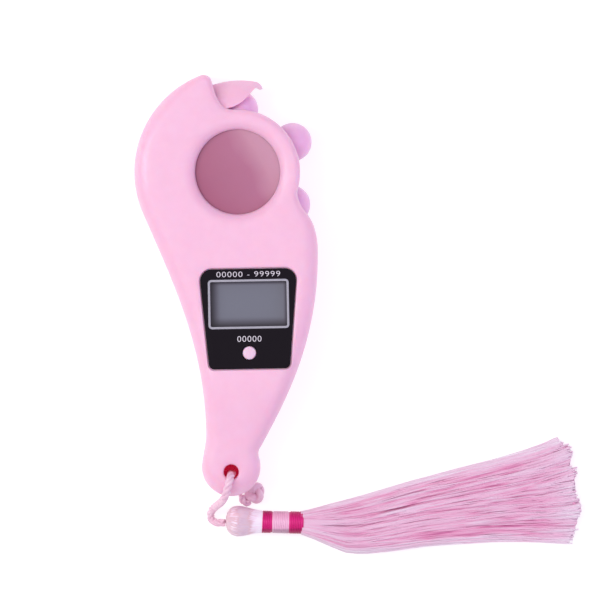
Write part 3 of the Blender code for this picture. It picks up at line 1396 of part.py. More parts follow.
def move_to_origin():
    """Put the origin under the middle of the body's outline."""
    xs = [point[0] for point in OUTLINE]
    ys = [point[1] for point in OUTLINE]
    middle = Vector(((min(xs) + max(xs)) / 2, (min(ys) + max(ys)) / 2, 0.0))
    for made in bpy.data.objects:
        if made.parent is None:
            made.location -= middle


def build():
    """Clear the scene and make every piece."""
    for old in list(bpy.data.objects):
        bpy.data.objects.remove(old, do_unlink=True)
    pink = material("pink_plastic", (0.92, 0.53, 0.76), 0.28)
    rose = material("rose_pane", (0.45, 0.17, 0.28), 0.08, alpha=0.85)
    orchid = material("orchid_bead", (0.74, 0.35, 0.67), 0.18)
    white = material("white_plastic", (0.78, 0.76, 0.78), 0.45)
    steel = material("steel", (0.62, 0.62, 0.64), 0.3, metallic=1.0)
    black = material("black_panel", (0.012, 0.009, 0.015), 0.15)
    silver = material("silver_frame", (0.42, 0.42, 0.46), 0.35, metallic=0.6)
    grey = material("display_grey", (0.20, 0.21, 0.26), 0.2)
    rubber = material("grey_rubber", (0.12, 0.12, 0.13), 0.7)
    green = material("board_green", (0.02, 0.16, 0.06), 0.4)
    epoxy = material("black_epoxy", (0.01, 0.01, 0.01), 0.35)
    pale = material("pale_button", (0.93, 0.66, 0.80), 0.3)
    brass = material("plated_brass", (0.72, 0.56, 0.28), 0.3, metallic=1.0)
    copper = material("flex_amber", (0.45, 0.20, 0.05), 0.45)
    silk = material("pale_cord", (0.83, 0.58, 0.74), 0.5)
    pearl = material("pearl_thread", (0.75, 0.52, 0.75), 0.4)
    magenta = material("magenta_thread", (0.58, 0.01, 0.15), 0.45)
    candy = material("pink_thread", (0.90, 0.38, 0.66), 0.4)
    fringe = material("orchid_thread", (0.68, 0.35, 0.58), 0.4)
    front_shell(pink)
    rear_shell(pink)
    window_pane(rose)
    wheel_pivot = pivot("wheel_pivot", 0.0, 0.0, SPLIT_Z)
    bead_wheel(white, wheel_pivot)
    beads(orchid, wheel_pivot)
    wheel_magnets(steel, wheel_pivot)
    axle(steel)
    panel_parts(black, silver)
    display_parts(grey, white, rubber)
    main_board(green, epoxy)
    button_pivot = pivot("button_pivot", PANEL_OFFSET, BUTTON_Y, FRONT_Z)
    reset_parts(pale, epoxy, white, button_pivot)
    cell_parts(steel, brass)
    battery_door(pink)
    sensor_parts(epoxy, copper)
    screws(steel)
    cord_length = cord("cord", CORD_ROUTE, silk)
    end_length = cord("cord_end", CORD_END_ROUTE, silk)
    knot(silk)
    tassel(pearl, magenta, candy, fringe)
    move_to_origin()
    print(f"cord {cord_length:.4f} m, cord end {end_length:.4f} m")


build()
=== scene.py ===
import json
from math import atan2, cos, degrees, exp, hypot, pi, radians, sin, sqrt, tau

import bmesh
import bpy
import numpy as np
from mathutils import Matrix, Vector
from mathutils.geometry import delaunay_2d_cdt


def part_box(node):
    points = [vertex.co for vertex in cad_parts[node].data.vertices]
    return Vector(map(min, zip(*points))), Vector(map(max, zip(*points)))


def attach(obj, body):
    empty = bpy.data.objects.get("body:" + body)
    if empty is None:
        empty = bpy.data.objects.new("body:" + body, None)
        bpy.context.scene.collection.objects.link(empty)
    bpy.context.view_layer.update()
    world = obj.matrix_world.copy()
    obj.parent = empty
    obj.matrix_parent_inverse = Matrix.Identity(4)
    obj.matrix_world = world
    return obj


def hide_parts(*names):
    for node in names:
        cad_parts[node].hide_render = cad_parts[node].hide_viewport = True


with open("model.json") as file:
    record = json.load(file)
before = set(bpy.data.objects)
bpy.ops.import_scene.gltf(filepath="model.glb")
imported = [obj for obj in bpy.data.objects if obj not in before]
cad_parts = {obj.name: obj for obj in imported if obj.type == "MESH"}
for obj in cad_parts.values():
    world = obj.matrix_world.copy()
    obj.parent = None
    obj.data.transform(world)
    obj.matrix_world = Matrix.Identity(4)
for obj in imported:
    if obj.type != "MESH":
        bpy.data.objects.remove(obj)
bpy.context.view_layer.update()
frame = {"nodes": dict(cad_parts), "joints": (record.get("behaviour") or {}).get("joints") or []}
MM = 0.001

# Camera. The counter lies on its back and the photograph looks straight down on it.
# The counter is turned one degree anticlockwise there, so the camera turns the other
# way. A long lens keeps the view nearly parallel.
axle = Vector(next(j["pos_m"] for j in frame["joints"] if j["name"] == "wheel_spin"))
pixels_per_mm = 4.55
wheel_pixel = (237.6, 171.8)
image_side = 600
camera_turn = radians(-1.0)
camera_height = 3.0
face_height = 16 * MM
sensor_width = 36


def new_object(name, data):
    """An object in the scene that shows the given data."""
    made = bpy.data.objects.new(name, data)
    bpy.context.collection.objects.link(made)
    return made


from_wheel = Vector((
    (image_side / 2 - wheel_pixel[0]) / pixels_per_mm,
    (wheel_pixel[1] - image_side / 2) / pixels_per_mm,
)) * MM
from_wheel.rotate(Matrix.Rotation(camera_turn, 2))
camera = new_object("camera", bpy.data.cameras.new("camera"))
camera.data.sensor_width = sensor_width
camera.data.lens = sensor_width * (camera_height - face_height) * pixels_per_mm / (image_side * MM)
camera.data.clip_end = 20
camera.location = (axle.x + from_wheel.x, axle.y + from_wheel.y, camera_height)
camera.rotation_euler = (0, 0, camera_turn)
bpy.context.scene.camera = camera
bpy.context.scene.view_settings.view_transform = "Standard"


# Studio. A white acrylic table that is lit a little from below, as for catalogue
# pictures, a long softbox high on the left, a broad one overhead and a lilac room.
def new_material(name, colour, roughness, **sockets):
    """A Principled material; further sockets are named with underscores."""
    made = bpy.data.materials.new(name)
    made.use_nodes = True
    shader = made.node_tree.nodes["Principled BSDF"]
    shader.inputs["Base Color"].default_value = (*colour, 1)
    shader.inputs["Roughness"].default_value = roughness
    for socket, value in sockets.items():
        label = socket.replace("_", " ").title().replace("Ior", "IOR")
        shader.inputs[label].default_value = value
    return made


def softbox(name, location, width, height, power, colour):
    """A rectangular area lamp that looks at the middle of the table."""
    lamp = bpy.data.lights.new(name, "AREA")
    lamp.shape = "RECTANGLE"
    lamp.size, lamp.size_y = width, height
    lamp.energy, lamp.color = power, colour
    made = new_object(name, lamp)
    made.location = location
    made.rotation_euler = (-Vector(location)).to_track_quat("-Z", "Y").to_euler()


room = bpy.data.worlds.new("lilac_room")
room.use_nodes = True
room_light = room.node_tree.nodes["Background"].inputs
room_light["Color"].default_value = (0.93, 0.86, 1.0, 1)
room_light["Strength"].default_value = 0.56
bpy.context.scene.world = room
softbox("key_softbox", (-0.75, 0.12, 0.95), 0.30, 0.90, 5.4, (1.0, 0.97, 0.94))
softbox("top_softbox", (-0.10, 0.10, 1.40), 0.9, 1.1, 4.5, (1.0, 0.98, 0.95))
softbox("lilac_softbox", (0.80, -0.10, 0.40), 0.4, 0.8, 1.3, (0.60, 0.52, 1.0))
table_acrylic = new_material(
    "table_acrylic", (0.55, 0.55, 0.55), 0.9, emission_color=(1, 1, 1, 1), emission_strength=0.62)
table_half = 3.0
bpy.ops.mesh.primitive_plane_add(size=2 * table_half)
table_top = bpy.context.object
table_top.name = "table_top"
table_top.data.materials.append(table_acrylic)

# Rear shell. The lower half, moulded in pink ABS like the front and joined to it on a
# fine seam all round by three screws. Each half is one closed skin over a flat net of
# triangles: an outer and an inner level, with a wall at the outline and every opening.
head_reach = 22.75
ring_reach = 13.75
body_width = 40.1
shoulder = (body_width - head_reach, -17.5)
tail_centre = (-2.56, -64.86)
tail_reach = 6.46
tail_hole = (-2.56, -65.96)
tail_hole_reach = 1.65
chamber_reach = 18.75
thin_step = 0.04
split_level = 8.0
seam_half = 0.08
edge_round = 3.0
side_wall = 1.8
taper_start, taper_end = -43.65, -71.32
cavity_top, cavity_bottom = -20.5, -52.02
net_step = 1.5
bump_height = 0.1 * MM


def ease(t):
    """A share of 0 to 1 that starts and ends slowly."""
    return t * t * (3 - 2 * t)


def place(x, y, z):
    """A point given in millimetres from the wheel's axis and the table."""
    return Vector((axle.x + x * MM, axle.y + y * MM, z * MM))


def polar(reach, angle):
    """A point at an angle in degrees about the wheel's axis, in millimetres."""
    return (reach * cos(radians(angle)), reach * sin(radians(angle)))


def arc(reach, first, last, count, centre=(0.0, 0.0)):
    """Points of an arc, without its last one."""
    turn = (last - first) / count
    return [tuple(c + p for c, p in zip(centre, polar(reach, first + turn * i))) for i in range(count)]


def bend(start, start_angle, end, end_angle, handle_shares, count):
    """A cubic curve that leaves and arrives at given angles, without its last point."""
    start, end = np.array(start), np.array(end)
    reach = hypot(*(end - start))
    a = start + reach * handle_shares[0] * np.array(polar(1, start_angle))
    b = end - reach * handle_shares[1] * np.array(polar(1, end_angle))
    t = np.arange(count)[:, None] / count
    s = 1 - t
    return list(s ** 3 * start + 3 * s * s * t * a + 3 * s * t * t * b + t ** 3 * end)


def body_outline():
    """The outline, anticlockwise, and the share of the edge's rounding at each point."""
    peak, back = polar(head_reach, 110), polar(head_reach, 202.5)
    waist_left = (tail_centre[0] - 0.834 * tail_reach, tail_centre[1] + 1.186 * tail_reach)
    waist_right = (tail_centre[0] + 0.992 * tail_reach, tail_centre[1] + 0.613 * tail_reach)
    tail = arc(tail_reach, 172, 372, 52, tail_centre)
    tail_end = arc(tail_reach, 372, 172, 1, tail_centre)[0]
    throat = (shoulder[0] * 0.879, shoulder[1] * 0.554)
    ring_start, ring_end = polar(ring_reach, -16), polar(ring_reach, 92)
    notch, under_peak = polar(head_reach * 0.818, 105), polar(head_reach * 0.919, 105)
    runs = [
        # points, rounding at the start and the end, share of the run in which it changes
        (arc(head_reach, 110, 202.5, 60), 0.45, 1.0, 0.35),
        (bend(back, 292.5, waist_left, -90, (0.32, 0.38), 40), 1.0, 1.0, 1.0),
        (bend(waist_left, -90, tail[0], 262, (0.38, 0.32), 16), 1.0, 1.0, 1.0),
        (tail, 1.0, 1.0, 1.0),
        (bend(tail_end, 462, waist_right, 60, (0.46, 0.46), 12), 1.0, 1.0, 1.0),
        (bend(waist_right, 60, shoulder, 90, (0.286, 0.418), 36), 1.0, 1.0, 1.0),
        (bend(shoulder, 90, throat, 128, (0.40, 0.27), 16), 1.0, 0.6, 1.0),
        (bend(throat, 132, ring_start, 74, (0.35, 0.32), 16), 0.6, 0.4, 1.0),
        (arc(ring_reach, -16, 92, 56), 0.4, 0.4, 1.0),
        (bend(ring_end, 182, notch, 104.5, (0.40, 0.43), 20), 0.4, 0.4, 1.0),
        (bend(notch, 104, under_peak, 104, (0.35, 0.35), 8), 0.4, 0.4, 1.0),
        (bend(under_peak, 106, peak, 200, (0.42, 0.38), 16), 0.4, 0.45, 1.0)]
    points, shares = [], []
    for run, first, last, fade in runs:
        points += run
        t = np.minimum(1, np.arange(len(run)) / len(run) / fade)
        shares += list(first + (last - first) * ease(t))
    return np.array(points), np.array(shares)


def inset(points, depths):
    """Move each point of an anticlockwise outline inwards, by one depth or one each."""
    sides = np.roll(points, -1, axis=0) - points
    after = np.stack([-sides[:, 1], sides[:, 0]], 1) / np.linalg.norm(sides, axis=1)[:, None]
    before = np.roll(after, 1, axis=0)
    middle = before + after
    middle /= np.linalg.norm(middle, axis=1)[:, None]
    lean = np.maximum((middle * before).sum(1), 0.5)
    return points + middle * (depths / lean)[:, None]


def ring_points(reach, centre=(0.0, 0.0), steps=96):
    """Points of a circle as an array."""
    return np.array(arc(reach, 0, 360, steps, centre))


def rounded(corners, radii, steps=8):
    """A convex outline, given anticlockwise, with each corner rounded."""
    points = []
    for i, radius in enumerate(radii):
        here = Vector(corners[i])
        before = (Vector(corners[i - 1]) - here).normalized()
        after = (Vector(corners[(i + 1) % len(corners)]) - here).normalized()
        half = before.angle(after) / 2
        centre = here + (before + after).normalized() * (radius / sin(half))
        first = here + before * (radius * cos(half) / sin(half)) - centre
        base = degrees(atan2(first.y, first.x))
        step = degrees(pi - 2 * half) / steps
        points += arc(radius, base, base + step * (steps + 1), steps + 1, centre)
    return np.array(points)


def rectangle(centre, width, height, corner):
    """A rounded rectangle as an array of points."""
    x, y = centre
    a, b = width / 2, height / 2
    return rounded([(x - a, y - b), (x + a, y - b), (x + a, y + b), (x - a, y + b)], [corner] * 4, 6)


def inside(points, loop):
    """Which points lie inside a closed outline."""
    found = np.zeros(len(points), bool)
    x, y = points.T
    for (ax, ay), (bx, by) in zip(loop, np.roll(loop, -1, axis=0)):
        if ay != by:
            found ^= ((ay > y) != (by > y)) & (x < (bx - ax) * (y - ay) / (by - ay) + ax)
    return found


def nearest(points, loop, values=None):
    """Distance to a closed outline, and the value at its nearest place."""
    best, value = np.full(len(points), 1e9), np.zeros(len(points))
    values = np.zeros(len(loop)) if values is None else values
    for a, b, first, last in zip(loop, np.roll(loop, -1, axis=0), values, np.roll(values, -1)):
        step = b - a
        t = np.clip(((points - a) @ step) / (step @ step), 0, 1)
        away = np.linalg.norm(points - a - t[:, None] * step, axis=1)
        closer = away < best
        best = np.where(closer, away, best)
        value = np.where(closer, first + (last - first) * t, value)
    return best, value


def keep_between(loop, low, high):
    """The part of an outline between two levels of y, closed by straight ends."""
    for level, side in ((low, 1), (high, -1)):
        kept = []
        for before, here in zip(np.roll(loop, 1, axis=0), loop):
            if ((here[1] - level) * side >= 0) != ((before[1] - level) * side >= 0):
                share = (level - before[1]) / (here[1] - before[1])
                kept.append((before[0] + (here[0] - before[0]) * share, level))
            if (here[1] - level) * side >= 0:
                kept.append(tuple(here))
        loop = np.array(kept)
    return loop


def new_piece(name, points, faces, finish, sharp_angle=40):
    """A smooth shaded mesh object with one material, facing outwards."""
    mesh = bpy.data.meshes.new(name)
    mesh.from_pydata([tuple(p) for p in points], [], faces)
    shape = bmesh.new()
    shape.from_mesh(mesh)
    bmesh.ops.remove_doubles(shape, verts=shape.verts, dist=0.001 * MM)
    bmesh.ops.recalc_face_normals(shape, faces=shape.faces)
    shape.to_mesh(mesh)
    shape.free()
    mesh.shade_smooth()
    mesh.set_sharp_from_angle(angle=radians(sharp_angle))
    mesh.materials.append(finish)
    return new_object(name, mesh)


def seat(made, node, body="case"):
    """Put a piece on its body, in place of its CAD node."""
    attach(made, body)
    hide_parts(node)


def quarter(count):
    """Steps of a quarter round, each with the share of its width and of its height."""
    return [(1 - cos(pi / 2 * k / count), sin(pi / 2 * k / count)) for k in range(1, count + 1)]


outline, edge_shares = body_outline()
hollow = keep_between(inset(outline, side_wall), cavity_bottom, cavity_top)[::2]
edge_rings = [outline] + [inset(outline, edge_round * edge_shares * share) for share, _ in quarter(9)]


def taper(y, share):
    """How much of the half thickness is left at y, where the tail grows thin."""
    return 1 - share * ease(np.clip((taper_start - y) / (taper_start - taper_end), 0, 1))


def rolled(away, width, depth):
    """Drop of a rounded edge of that width and depth, at a distance from it."""
    t = np.clip(1 - away / width, 0, 1)
    return depth * (1 - np.sqrt(1 - t * t))


def outer_height(points, tail_share, crown, crown_reach):
    """Height of the outer face over the seam: flat, softly crowned, round at its edge."""
    away, share = nearest(points, outline, edge_shares)
    fall = crown * np.clip(1 - away / crown_reach, 0, 1) ** 2
    radius = edge_round * share
    return (split_level - fall) * taper(points[:, 1], tail_share) - rolled(away, radius, radius)


def divided(loop):
    """A closed outline with points added, so that no side is longer than the net's step."""
    points = []
    for a, b in zip(loop, np.roll(loop, -1, axis=0)):
        count = max(1, round(hypot(*(b - a)) / net_step))
        points += [a + (b - a) * k / count for k in range(count)]
    return points


def flat_net(loops, loose, border, holes):
    """Triangles through closed lines and loose points, inside a border, outside holes."""
    points, edges = [], []
    for loop in loops:
        first = len(points)
        points += [Vector(p) for p in loop]
        edges += [(first + i, first + (i + 1) % len(loop)) for i in range(len(loop))]
    found, _, faces, *_ = delaunay_2d_cdt(points + [Vector(p) for p in loose], edges, [], 0, 1e-5)
    flat, faces = np.array([tuple(p) for p in found]), np.array(faces)
    centres = flat[faces].mean(1)
    keep = inside(centres, border)
    for hole in holes:
        keep &= ~inside(centres, hole)
    used, faces = np.unique(faces[keep], return_inverse=True)
    return flat[used], faces.reshape(-1, 3)


def skin(name, loops, holes, outer, inner):
    """A closed skin of pink ABS over a flat net. Loops are lines of the net, holes are
    left out of it, and outer and inner give the two levels at its points."""
    loops = [divided(loop) for loop in loops]
    low, high = outline.min(0), outline.max(0)
    xs, ys = (np.arange(low[c], high[c], net_step * step) for c, step in ((0, 1), (1, 0.866)))
    grid = np.array([(x + net_step / 2 * (k % 2), y) for k, y in enumerate(ys) for x in xs])
    grid = grid[inside(grid, outline)]
    lines = np.concatenate(loops)
    clear = np.array([np.min(np.hypot(*(lines - p).T)) for p in grid]) > net_step * 0.5
    flat, faces = flat_net(loops, grid[clear], outline, holes)
    count = len(flat)
    body = [place(x, y, z) for level in (outer, inner) for (x, y), z in zip(flat, level(flat))]
    skins, rims = [], set()
    for a, b, c in faces.tolist():
        skins += [(a, b, c), (c + count, b + count, a + count)]
        rims |= {(a, b), (b, c), (c, a)}
    skins += [(b, a, a + count, b + count) for a, b in rims if (b, a) not in rims]
    return new_piece(name, body, skins, pink_abs, 42)


def paint_hole_shade(shell):
    """Paint the wall of the cord's hole with its own finish, deep crimson with a faint glow: painted shade
    for the deep hole."""
    shell.data.materials.append(painted_hole_shade)
    middle = place(*tail_hole, 0)
    for face in shell.data.polygons:
        if (face.center - middle).xy.length < (tail_hole_reach + 0.01) * MM and face.normal.z > -0.5:
            face.material_index = 1


def double(loop):
    """A line of the net and its twin just outside, for a steep wall between levels."""
    return [loop, inset(loop, -thin_step)]


def link_node(tree, kind, inputs, **settings):
    """A node; inputs gives for each socket its value, or the output that feeds it."""
    made = tree.nodes.new(kind)
    for setting, value in settings.items():
        setattr(made, setting, value)
    for socket, value in inputs.items():
        if isinstance(value, bpy.types.NodeSocket):
            tree.links.new(value, made.inputs[socket])
        else:
            made.inputs[socket].default_value = value
    return made


def add_node(finish, kind, inputs, **settings):
    """A shader node of a material, given in the same way."""
    return link_node(finish.node_tree, f"ShaderNode{kind}", inputs, **settings)


def feed(finish, socket, value):
    """Link a value to a socket of the Principled shader."""
    finish.node_tree.links.new(value, finish.node_tree.nodes["Principled BSDF"].inputs[socket])


def add_tint(finish, value, stops):
    """Base colour from a ramp of (place, colour) stops over a socket's value."""
    ramp = add_node(finish, "ValToRGB", {"Fac": value})
    for _ in stops[2:]:
        ramp.color_ramp.elements.new(0.5)
    for element, (position, colour) in zip(ramp.color_ramp.elements, stops):
        element.position = position
        element.color = (*colour, 1)
    feed(finish, "Base Color", ramp.outputs[0])


def textured(name, colour, roughness, scale, strength, stops=(), detail=3.0, stretch=(1, 1, 1), **sockets):
    """A material with a fine bump from a noise; the stops are tints over that noise."""
    finish = new_material(name, colour, roughness, **sockets)
    position = add_node(finish, "TexCoord", {}).outputs["Object"]
    mapping = add_node(finish, "Mapping", {"Vector": position, "Scale": stretch})
    noise = add_node(
        finish, "TexNoise", {"Vector": mapping.outputs[0], "Scale": scale, "Detail": detail})
    bump = add_node(finish, "Bump", {
        "Height": noise.outputs["Fac"], "Strength": strength, "Distance": bump_height})
    feed(finish, "Normal", bump.outputs[0])
    if stops:
        add_tint(finish, noise.outputs["Fac"], stops)
    return finish


pink_abs = textured(
    "pink_abs", (0.93, 0.54, 0.74), 0.36, 420, 0.01,
    ((0.3, (0.92, 0.53, 0.705)), (0.7, (0.935, 0.555, 0.73))),
    subsurface_weight=0.3, subsurface_scale=0.9 * MM, coat_weight=0.15, coat_roughness=0.2)
# Painted shade for the wall of the cord's hole: deep crimson, and it glows a little.
painted_hole_shade = textured(
    "abs_painted_hole_shade", (0.70, 0.03, 0.12), 0.4, 420, 0.02,
    emission_color=(0.42, 0.006, 0.045, 1), emission_strength=0.36)

panel_middle = 1.9
cell_y = -31.0
door_level = 1.9
door_top, door_bottom = cell_y + 7.3, -42.85
door_width, door_corner, door_gap = 15.0, 2.3, 0.3
door_outline = rectangle(
    (panel_middle, (door_top + door_bottom) / 2), door_width + 2 * door_gap,
    door_top - door_bottom + 2 * door_gap, door_corner)
screw_reach = chamber_reach + 2.6
screw_places = [polar(screw_reach, -122.6), polar(screw_reach, -56.0), (-1.735, -58.99)]
screw_recess, screw_floor = 1.8, 2.0
cell_well = ring_points(6.1, (panel_middle, cell_y), 64)
cord_seat = ring_points(0.90, (-2.55, -66.47), 40)
cord_seat_wall = 0.8
rear_hole = ring_points(tail_hole_reach, tail_hole, 48)
chamber_rings = [ring_points(reach, steps=140) for reach in (chamber_reach, chamber_reach - thin_step)]
rear_taper, rear_crown, rear_crown_reach = 0.62, 0.2, 6.0
wheel_floor, hollow_floor = 3.25, 2.6


def rear_outer(points):
    """Level of the rear face, with the door's seat and the screws' recesses."""
    levels = split_level - outer_height(points, rear_taper, rear_crown, rear_crown_reach)
    levels[inside(points, door_outline)] = door_level
    for x, y in screw_places:
        deep = np.hypot(points[:, 0] - x, points[:, 1] - y) < screw_recess + 0.01
        levels[deep] = split_level * (1 - taper(y, rear_taper)) + screw_floor
    return levels


def rear_inner(points):
    """Level of the inside: seam, wheel plate, cord's seat and hollow."""
    levels = np.full(len(points), split_level - seam_half)
    levels[np.hypot(*points.T) < chamber_reach - thin_step / 2] = wheel_floor
    in_hole = inside(points, rear_hole)
    levels[in_hole] = rear_outer(points)[in_hole] + cord_seat_wall
    deep = inside(points, hollow) & (nearest(points, hollow)[0] > 0.01)
    levels[deep] = (split_level - (split_level - hollow_floor) * taper(points[:, 1], rear_taper))[deep]
    return levels


rear_loops = edge_rings + double(door_outline)
for screw_place in screw_places:
    rear_loops += double(ring_points(screw_recess, screw_place, 32))
rear_loops += [
    *chamber_rings, hollow, inset(hollow, thin_step), cell_well, *double(rear_hole), cord_seat]
rear_shell = skin("rear_shell_piece", rear_loops, [cell_well, cord_seat], rear_outer, rear_inner)
paint_hole_shade(rear_shell)
seat(rear_shell, "rear_shell")

# Hall sensor and its lead. A bare black epoxy sensor sits in a pocket of the rear shell
# under the magnets, and an amber polyimide flex runs from it to the board.
def dress(finish, *names):
    """Give CAD nodes whose shape stays a finish made here."""
    for name in names:
        for slot in frame["nodes"][name].material_slots:
            slot.material = finish


black_epoxy = textured("sensor_epoxy", (0.018, 0.018, 0.020), 0.45, 2600, 0.25)
flex_polyimide = textured(
    "flex_polyimide", (0.55, 0.25, 0.045), 0.28, 900, 0.08,
    ((0.3, (0.50, 0.22, 0.04)), (0.7, (0.60, 0.28, 0.055))), coat_weight=0.4)
dress(black_epoxy, "hall_sensor")
dress(flex_polyimide, "sensor_flex")

# Axle, washer and ring. A turned steel pin pressed into the rear shell, a white thrust
# washer under the wheel, and a push-on ring that holds the wheel on the pin.
turned_steel = textured(
    "turned_steel", (0.60, 0.60, 0.61), 0.28, 700, 0.12, stretch=(1, 1, 9), metallic=1.0)
washer_acetal = textured("washer_acetal", (0.84, 0.84, 0.82), 0.4, 1200, 0.05, subsurface_weight=0.2)
dress(turned_steel, "wheel_axle", "axle_ring")
dress(washer_acetal, "axle_washer")

# Bead wheel. A white star moulded in acetal, with a socket for each of the six beads
# and a nickel-plated magnet pressed in between each two.
magnet_nickel = textured("magnet_nickel", (0.66, 0.64, 0.60), 0.18, 1500, 0.06, metallic=1.0)
dress(washer_acetal, "bead_wheel")
dress(magnet_nickel, *[f"wheel_magnet_{i}" for i in range(1, 7)])

# Beads. Six orchid balls of pearly acrylic that the thumb pushes one by one. Each is
# moulded with a spigot for its socket and keeps a fine parting line at its equator.
bead_reach = 4.25
bead_circle = 13.75
spigot_reach = 1.0
spigot_end = 6.9
spigot_bevel = 0.3
first_bead_angle = 27.8
parting_line = 0.035
orchid_acrylic = textured(
    "orchid_acrylic", (0.86, 0.47, 0.78), 0.34, 160, 0.004,
    ((0.3, (0.89, 0.48, 0.74)), (0.7, (0.92, 0.53, 0.83))), 4.0, (1, 1, 2.5),
    subsurface_weight=0.35, subsurface_scale=3 * MM, coat_weight=0.3, coat_roughness=0.2, sheen_weight=0.1)


def quads(rows, columns):
    """Faces between rows of points, each of which is a closed ring."""
    return [
        (i * columns + k, i * columns + (k + 1) % columns,
         (i + 1) * columns + (k + 1) % columns, (i + 1) * columns + k)
        for i in range(rows - 1) for k in range(columns)]


def turned(name, profile, middle, axis, finish, steps=48, sharp_angle=40):
    """A solid turned about an axis; the profile is (along, reach) in millimetres."""
    along = Vector(axis).normalized()
    side = along.orthogonal().normalized()
    across = along.cross(side)
    points = []
    for level, reach in profile:
        for k in range(steps):
            around = side * cos(tau * k / steps) + across * sin(tau * k / steps)
            points.append(middle + (along * level + around * reach) * MM)
    faces = quads(len(profile), steps)
    for row in (0, len(profile) - 1):
        if profile[row][1] > 0:
            faces.append(tuple(row * steps + k for k in range(steps)))
    return new_piece(name, points, faces, finish, sharp_angle)


def join(target, *others):
    """Join meshes into the first one."""
    bpy.ops.object.select_all(action="DESELECT")
    for made in (target, *others):
        made.select_set(True)
    bpy.context.view_layer.objects.active = target
    bpy.ops.object.join()
    return target


ball_profile = []
for k in range(41):
    turn = -pi / 2 + pi * k / 40
    groove = parting_line if k == 20 else 0.0
    ball_profile.append((bead_reach * sin(turn), max(0.0, bead_reach * cos(turn) - groove)))
stem_start = spigot_end - bead_circle - spigot_reach * 0.2
spigot_profile = [
    (stem_start, 0.75 * spigot_reach), (stem_start + spigot_bevel, spigot_reach),
    (-bead_reach * 0.9, spigot_reach)]
for i in range(6):
    angle = first_bead_angle + 60 * i
    middle = place(*polar(bead_circle, angle), split_level)
    bead = turned(f"bead_{i + 1}_ball", ball_profile, middle, (0, 0, 1), orchid_acrylic, 64)
    outward = Vector((*polar(1, angle), 0))
    spigot = turned(f"bead_{i + 1}_spigot", spigot_profile, middle, outward, orchid_acrylic, 20)
    seat(join(bead, spigot), f"bead_{i + 1}", "wheel")

# Cell and contacts. A steel button cell in its well, with a leaf of plated brass above
# it and another at its side, which join it to the board.
cell_steel = textured(
    "cell_steel", (0.62, 0.61, 0.59), 0.22, 600, 0.08, stretch=(1, 1, 6), metallic=1.0)
contact_brass = textured(
    "contact_brass", (0.72, 0.60, 0.36), 0.25, 800, 0.1, stretch=(6, 1, 1), metallic=1.0)
dress(cell_steel, "button_cell")
dress(contact_brass, "contact_top", "contact_side")

# Board. Green glass-epoxy with a black epoxy blob over the bonded chip, and the tact
# switch whose plunger the reset button presses.
board_laminate = textured(
    "board_laminate", (0.03, 0.20, 0.07), 0.35, 1400, 0.15,
    ((0.35, (0.02, 0.16, 0.05)), (0.65, (0.04, 0.24, 0.09))), coat_weight=0.5)
dress(board_laminate, "main_board")
dress(black_epoxy, "chip_blob", "reset_switch", "switch_plunger")

# Display. A blank liquid-crystal glass in a white holder, joined to the board by a rubber strip of black
# and grey layers. The glass is grey, with painted shade along the sides of its opening: each of four fades
# is 0 at a side and 1 a little way in.
panel_top, panel_bottom = -21.35, -43.35
panel_top_width, panel_bottom_width = 21.6, 17.7
display_y, display_width, display_height = -29.1, 17.8, 10.86
frame_line = 0.5
zebra_rubber = textured(
    "zebra_rubber", (0.10, 0.10, 0.11), 0.6, 3000, 0.1,
    ((0.48, (0.03, 0.03, 0.03)), (0.52, (0.35, 0.35, 0.36))), stretch=(1, 0.05, 0.05))
lcd_glass = textured("lcd_glass_grey", (0.15, 0.155, 0.20), 0.3, 5000, 0.03, specular_ior_level=0.25)
lcd_place = add_node(lcd_glass, "TexCoord", {}).outputs["Object"]
lcd_axes = add_node(lcd_glass, "SeparateXYZ", {"Vector": lcd_place}).outputs
opening_half = (display_width / 2 - frame_line, display_height / 2 - frame_line)
lcd_shade = 1.0
for axis, edge, width, side in (
    (0, panel_middle - opening_half[0], 2.4, 1), (0, panel_middle + opening_half[0], 0.9, -1),
    (1, display_y - opening_half[1], 2.3, 1), (1, display_y + opening_half[1], 0.9, -1),
):
    start = axle[axis] + edge * MM
    fade = add_node(lcd_glass, "MapRange", {
        "Value": lcd_axes[axis], "From Min": start - side * 0.3 * MM,
        "From Max": start + side * width * MM}, interpolation_type="SMOOTHSTEP")
    lcd_shade = add_node(
        lcd_glass, "Math", {0: fade.outputs[0], 1: lcd_shade}, operation="MULTIPLY").outputs[0]
# Painted shade: the ramp darkens the glass near the opening's sides, most on the left and at the bottom.
add_tint(lcd_glass, lcd_shade, (
    (0.0, (0.025, 0.022, 0.034)), (0.6, (0.105, 0.106, 0.138)), (1.0, (0.166, 0.178, 0.220))))
dress(zebra_rubber, "zebra_strip")
dress(washer_acetal, "lcd_holder")
dress(lcd_glass, "lcd_glass")

# Front shell. The upper half, moulded in the same pink ABS: a softly crowned face, the
# ring with its rolled window rim, a recess for the black panel, and the hole in the tail.
window_reach = 9.34
rim_width, rim_depth = 2.7, 1.65
hole_rim_width, hole_rim_depth = 0.55, 0.5
pane_pocket = window_reach + 1.3
recess_floor = 15.1
recess_edge_width, recess_edge_depth = 0.35, 0.3
panel_gap, recess_wall, window_frame = 0.17, 0.015, 0.25
front_wall_level, wheel_roof, pane_ledge = 14.2, 12.75, 14.35
front_taper, front_crown, front_crown_reach = 0.30, 0.35, 7.0
button_place = (panel_middle, -39.85)
button_reach = 1.45


def panel_loop(grow):
    """The panel's outline, grown on every side."""
    top, bottom = panel_top_width / 2 + grow, panel_bottom_width / 2 + grow
    corners = [
        (panel_middle - bottom, panel_bottom - grow), (panel_middle + bottom, panel_bottom - grow),
        (panel_middle + top, panel_top + grow), (panel_middle - top, panel_top + grow)]
    return rounded(corners, [1.2 + grow, 1.2 + grow, 2.6 + grow, 2.6 + grow])


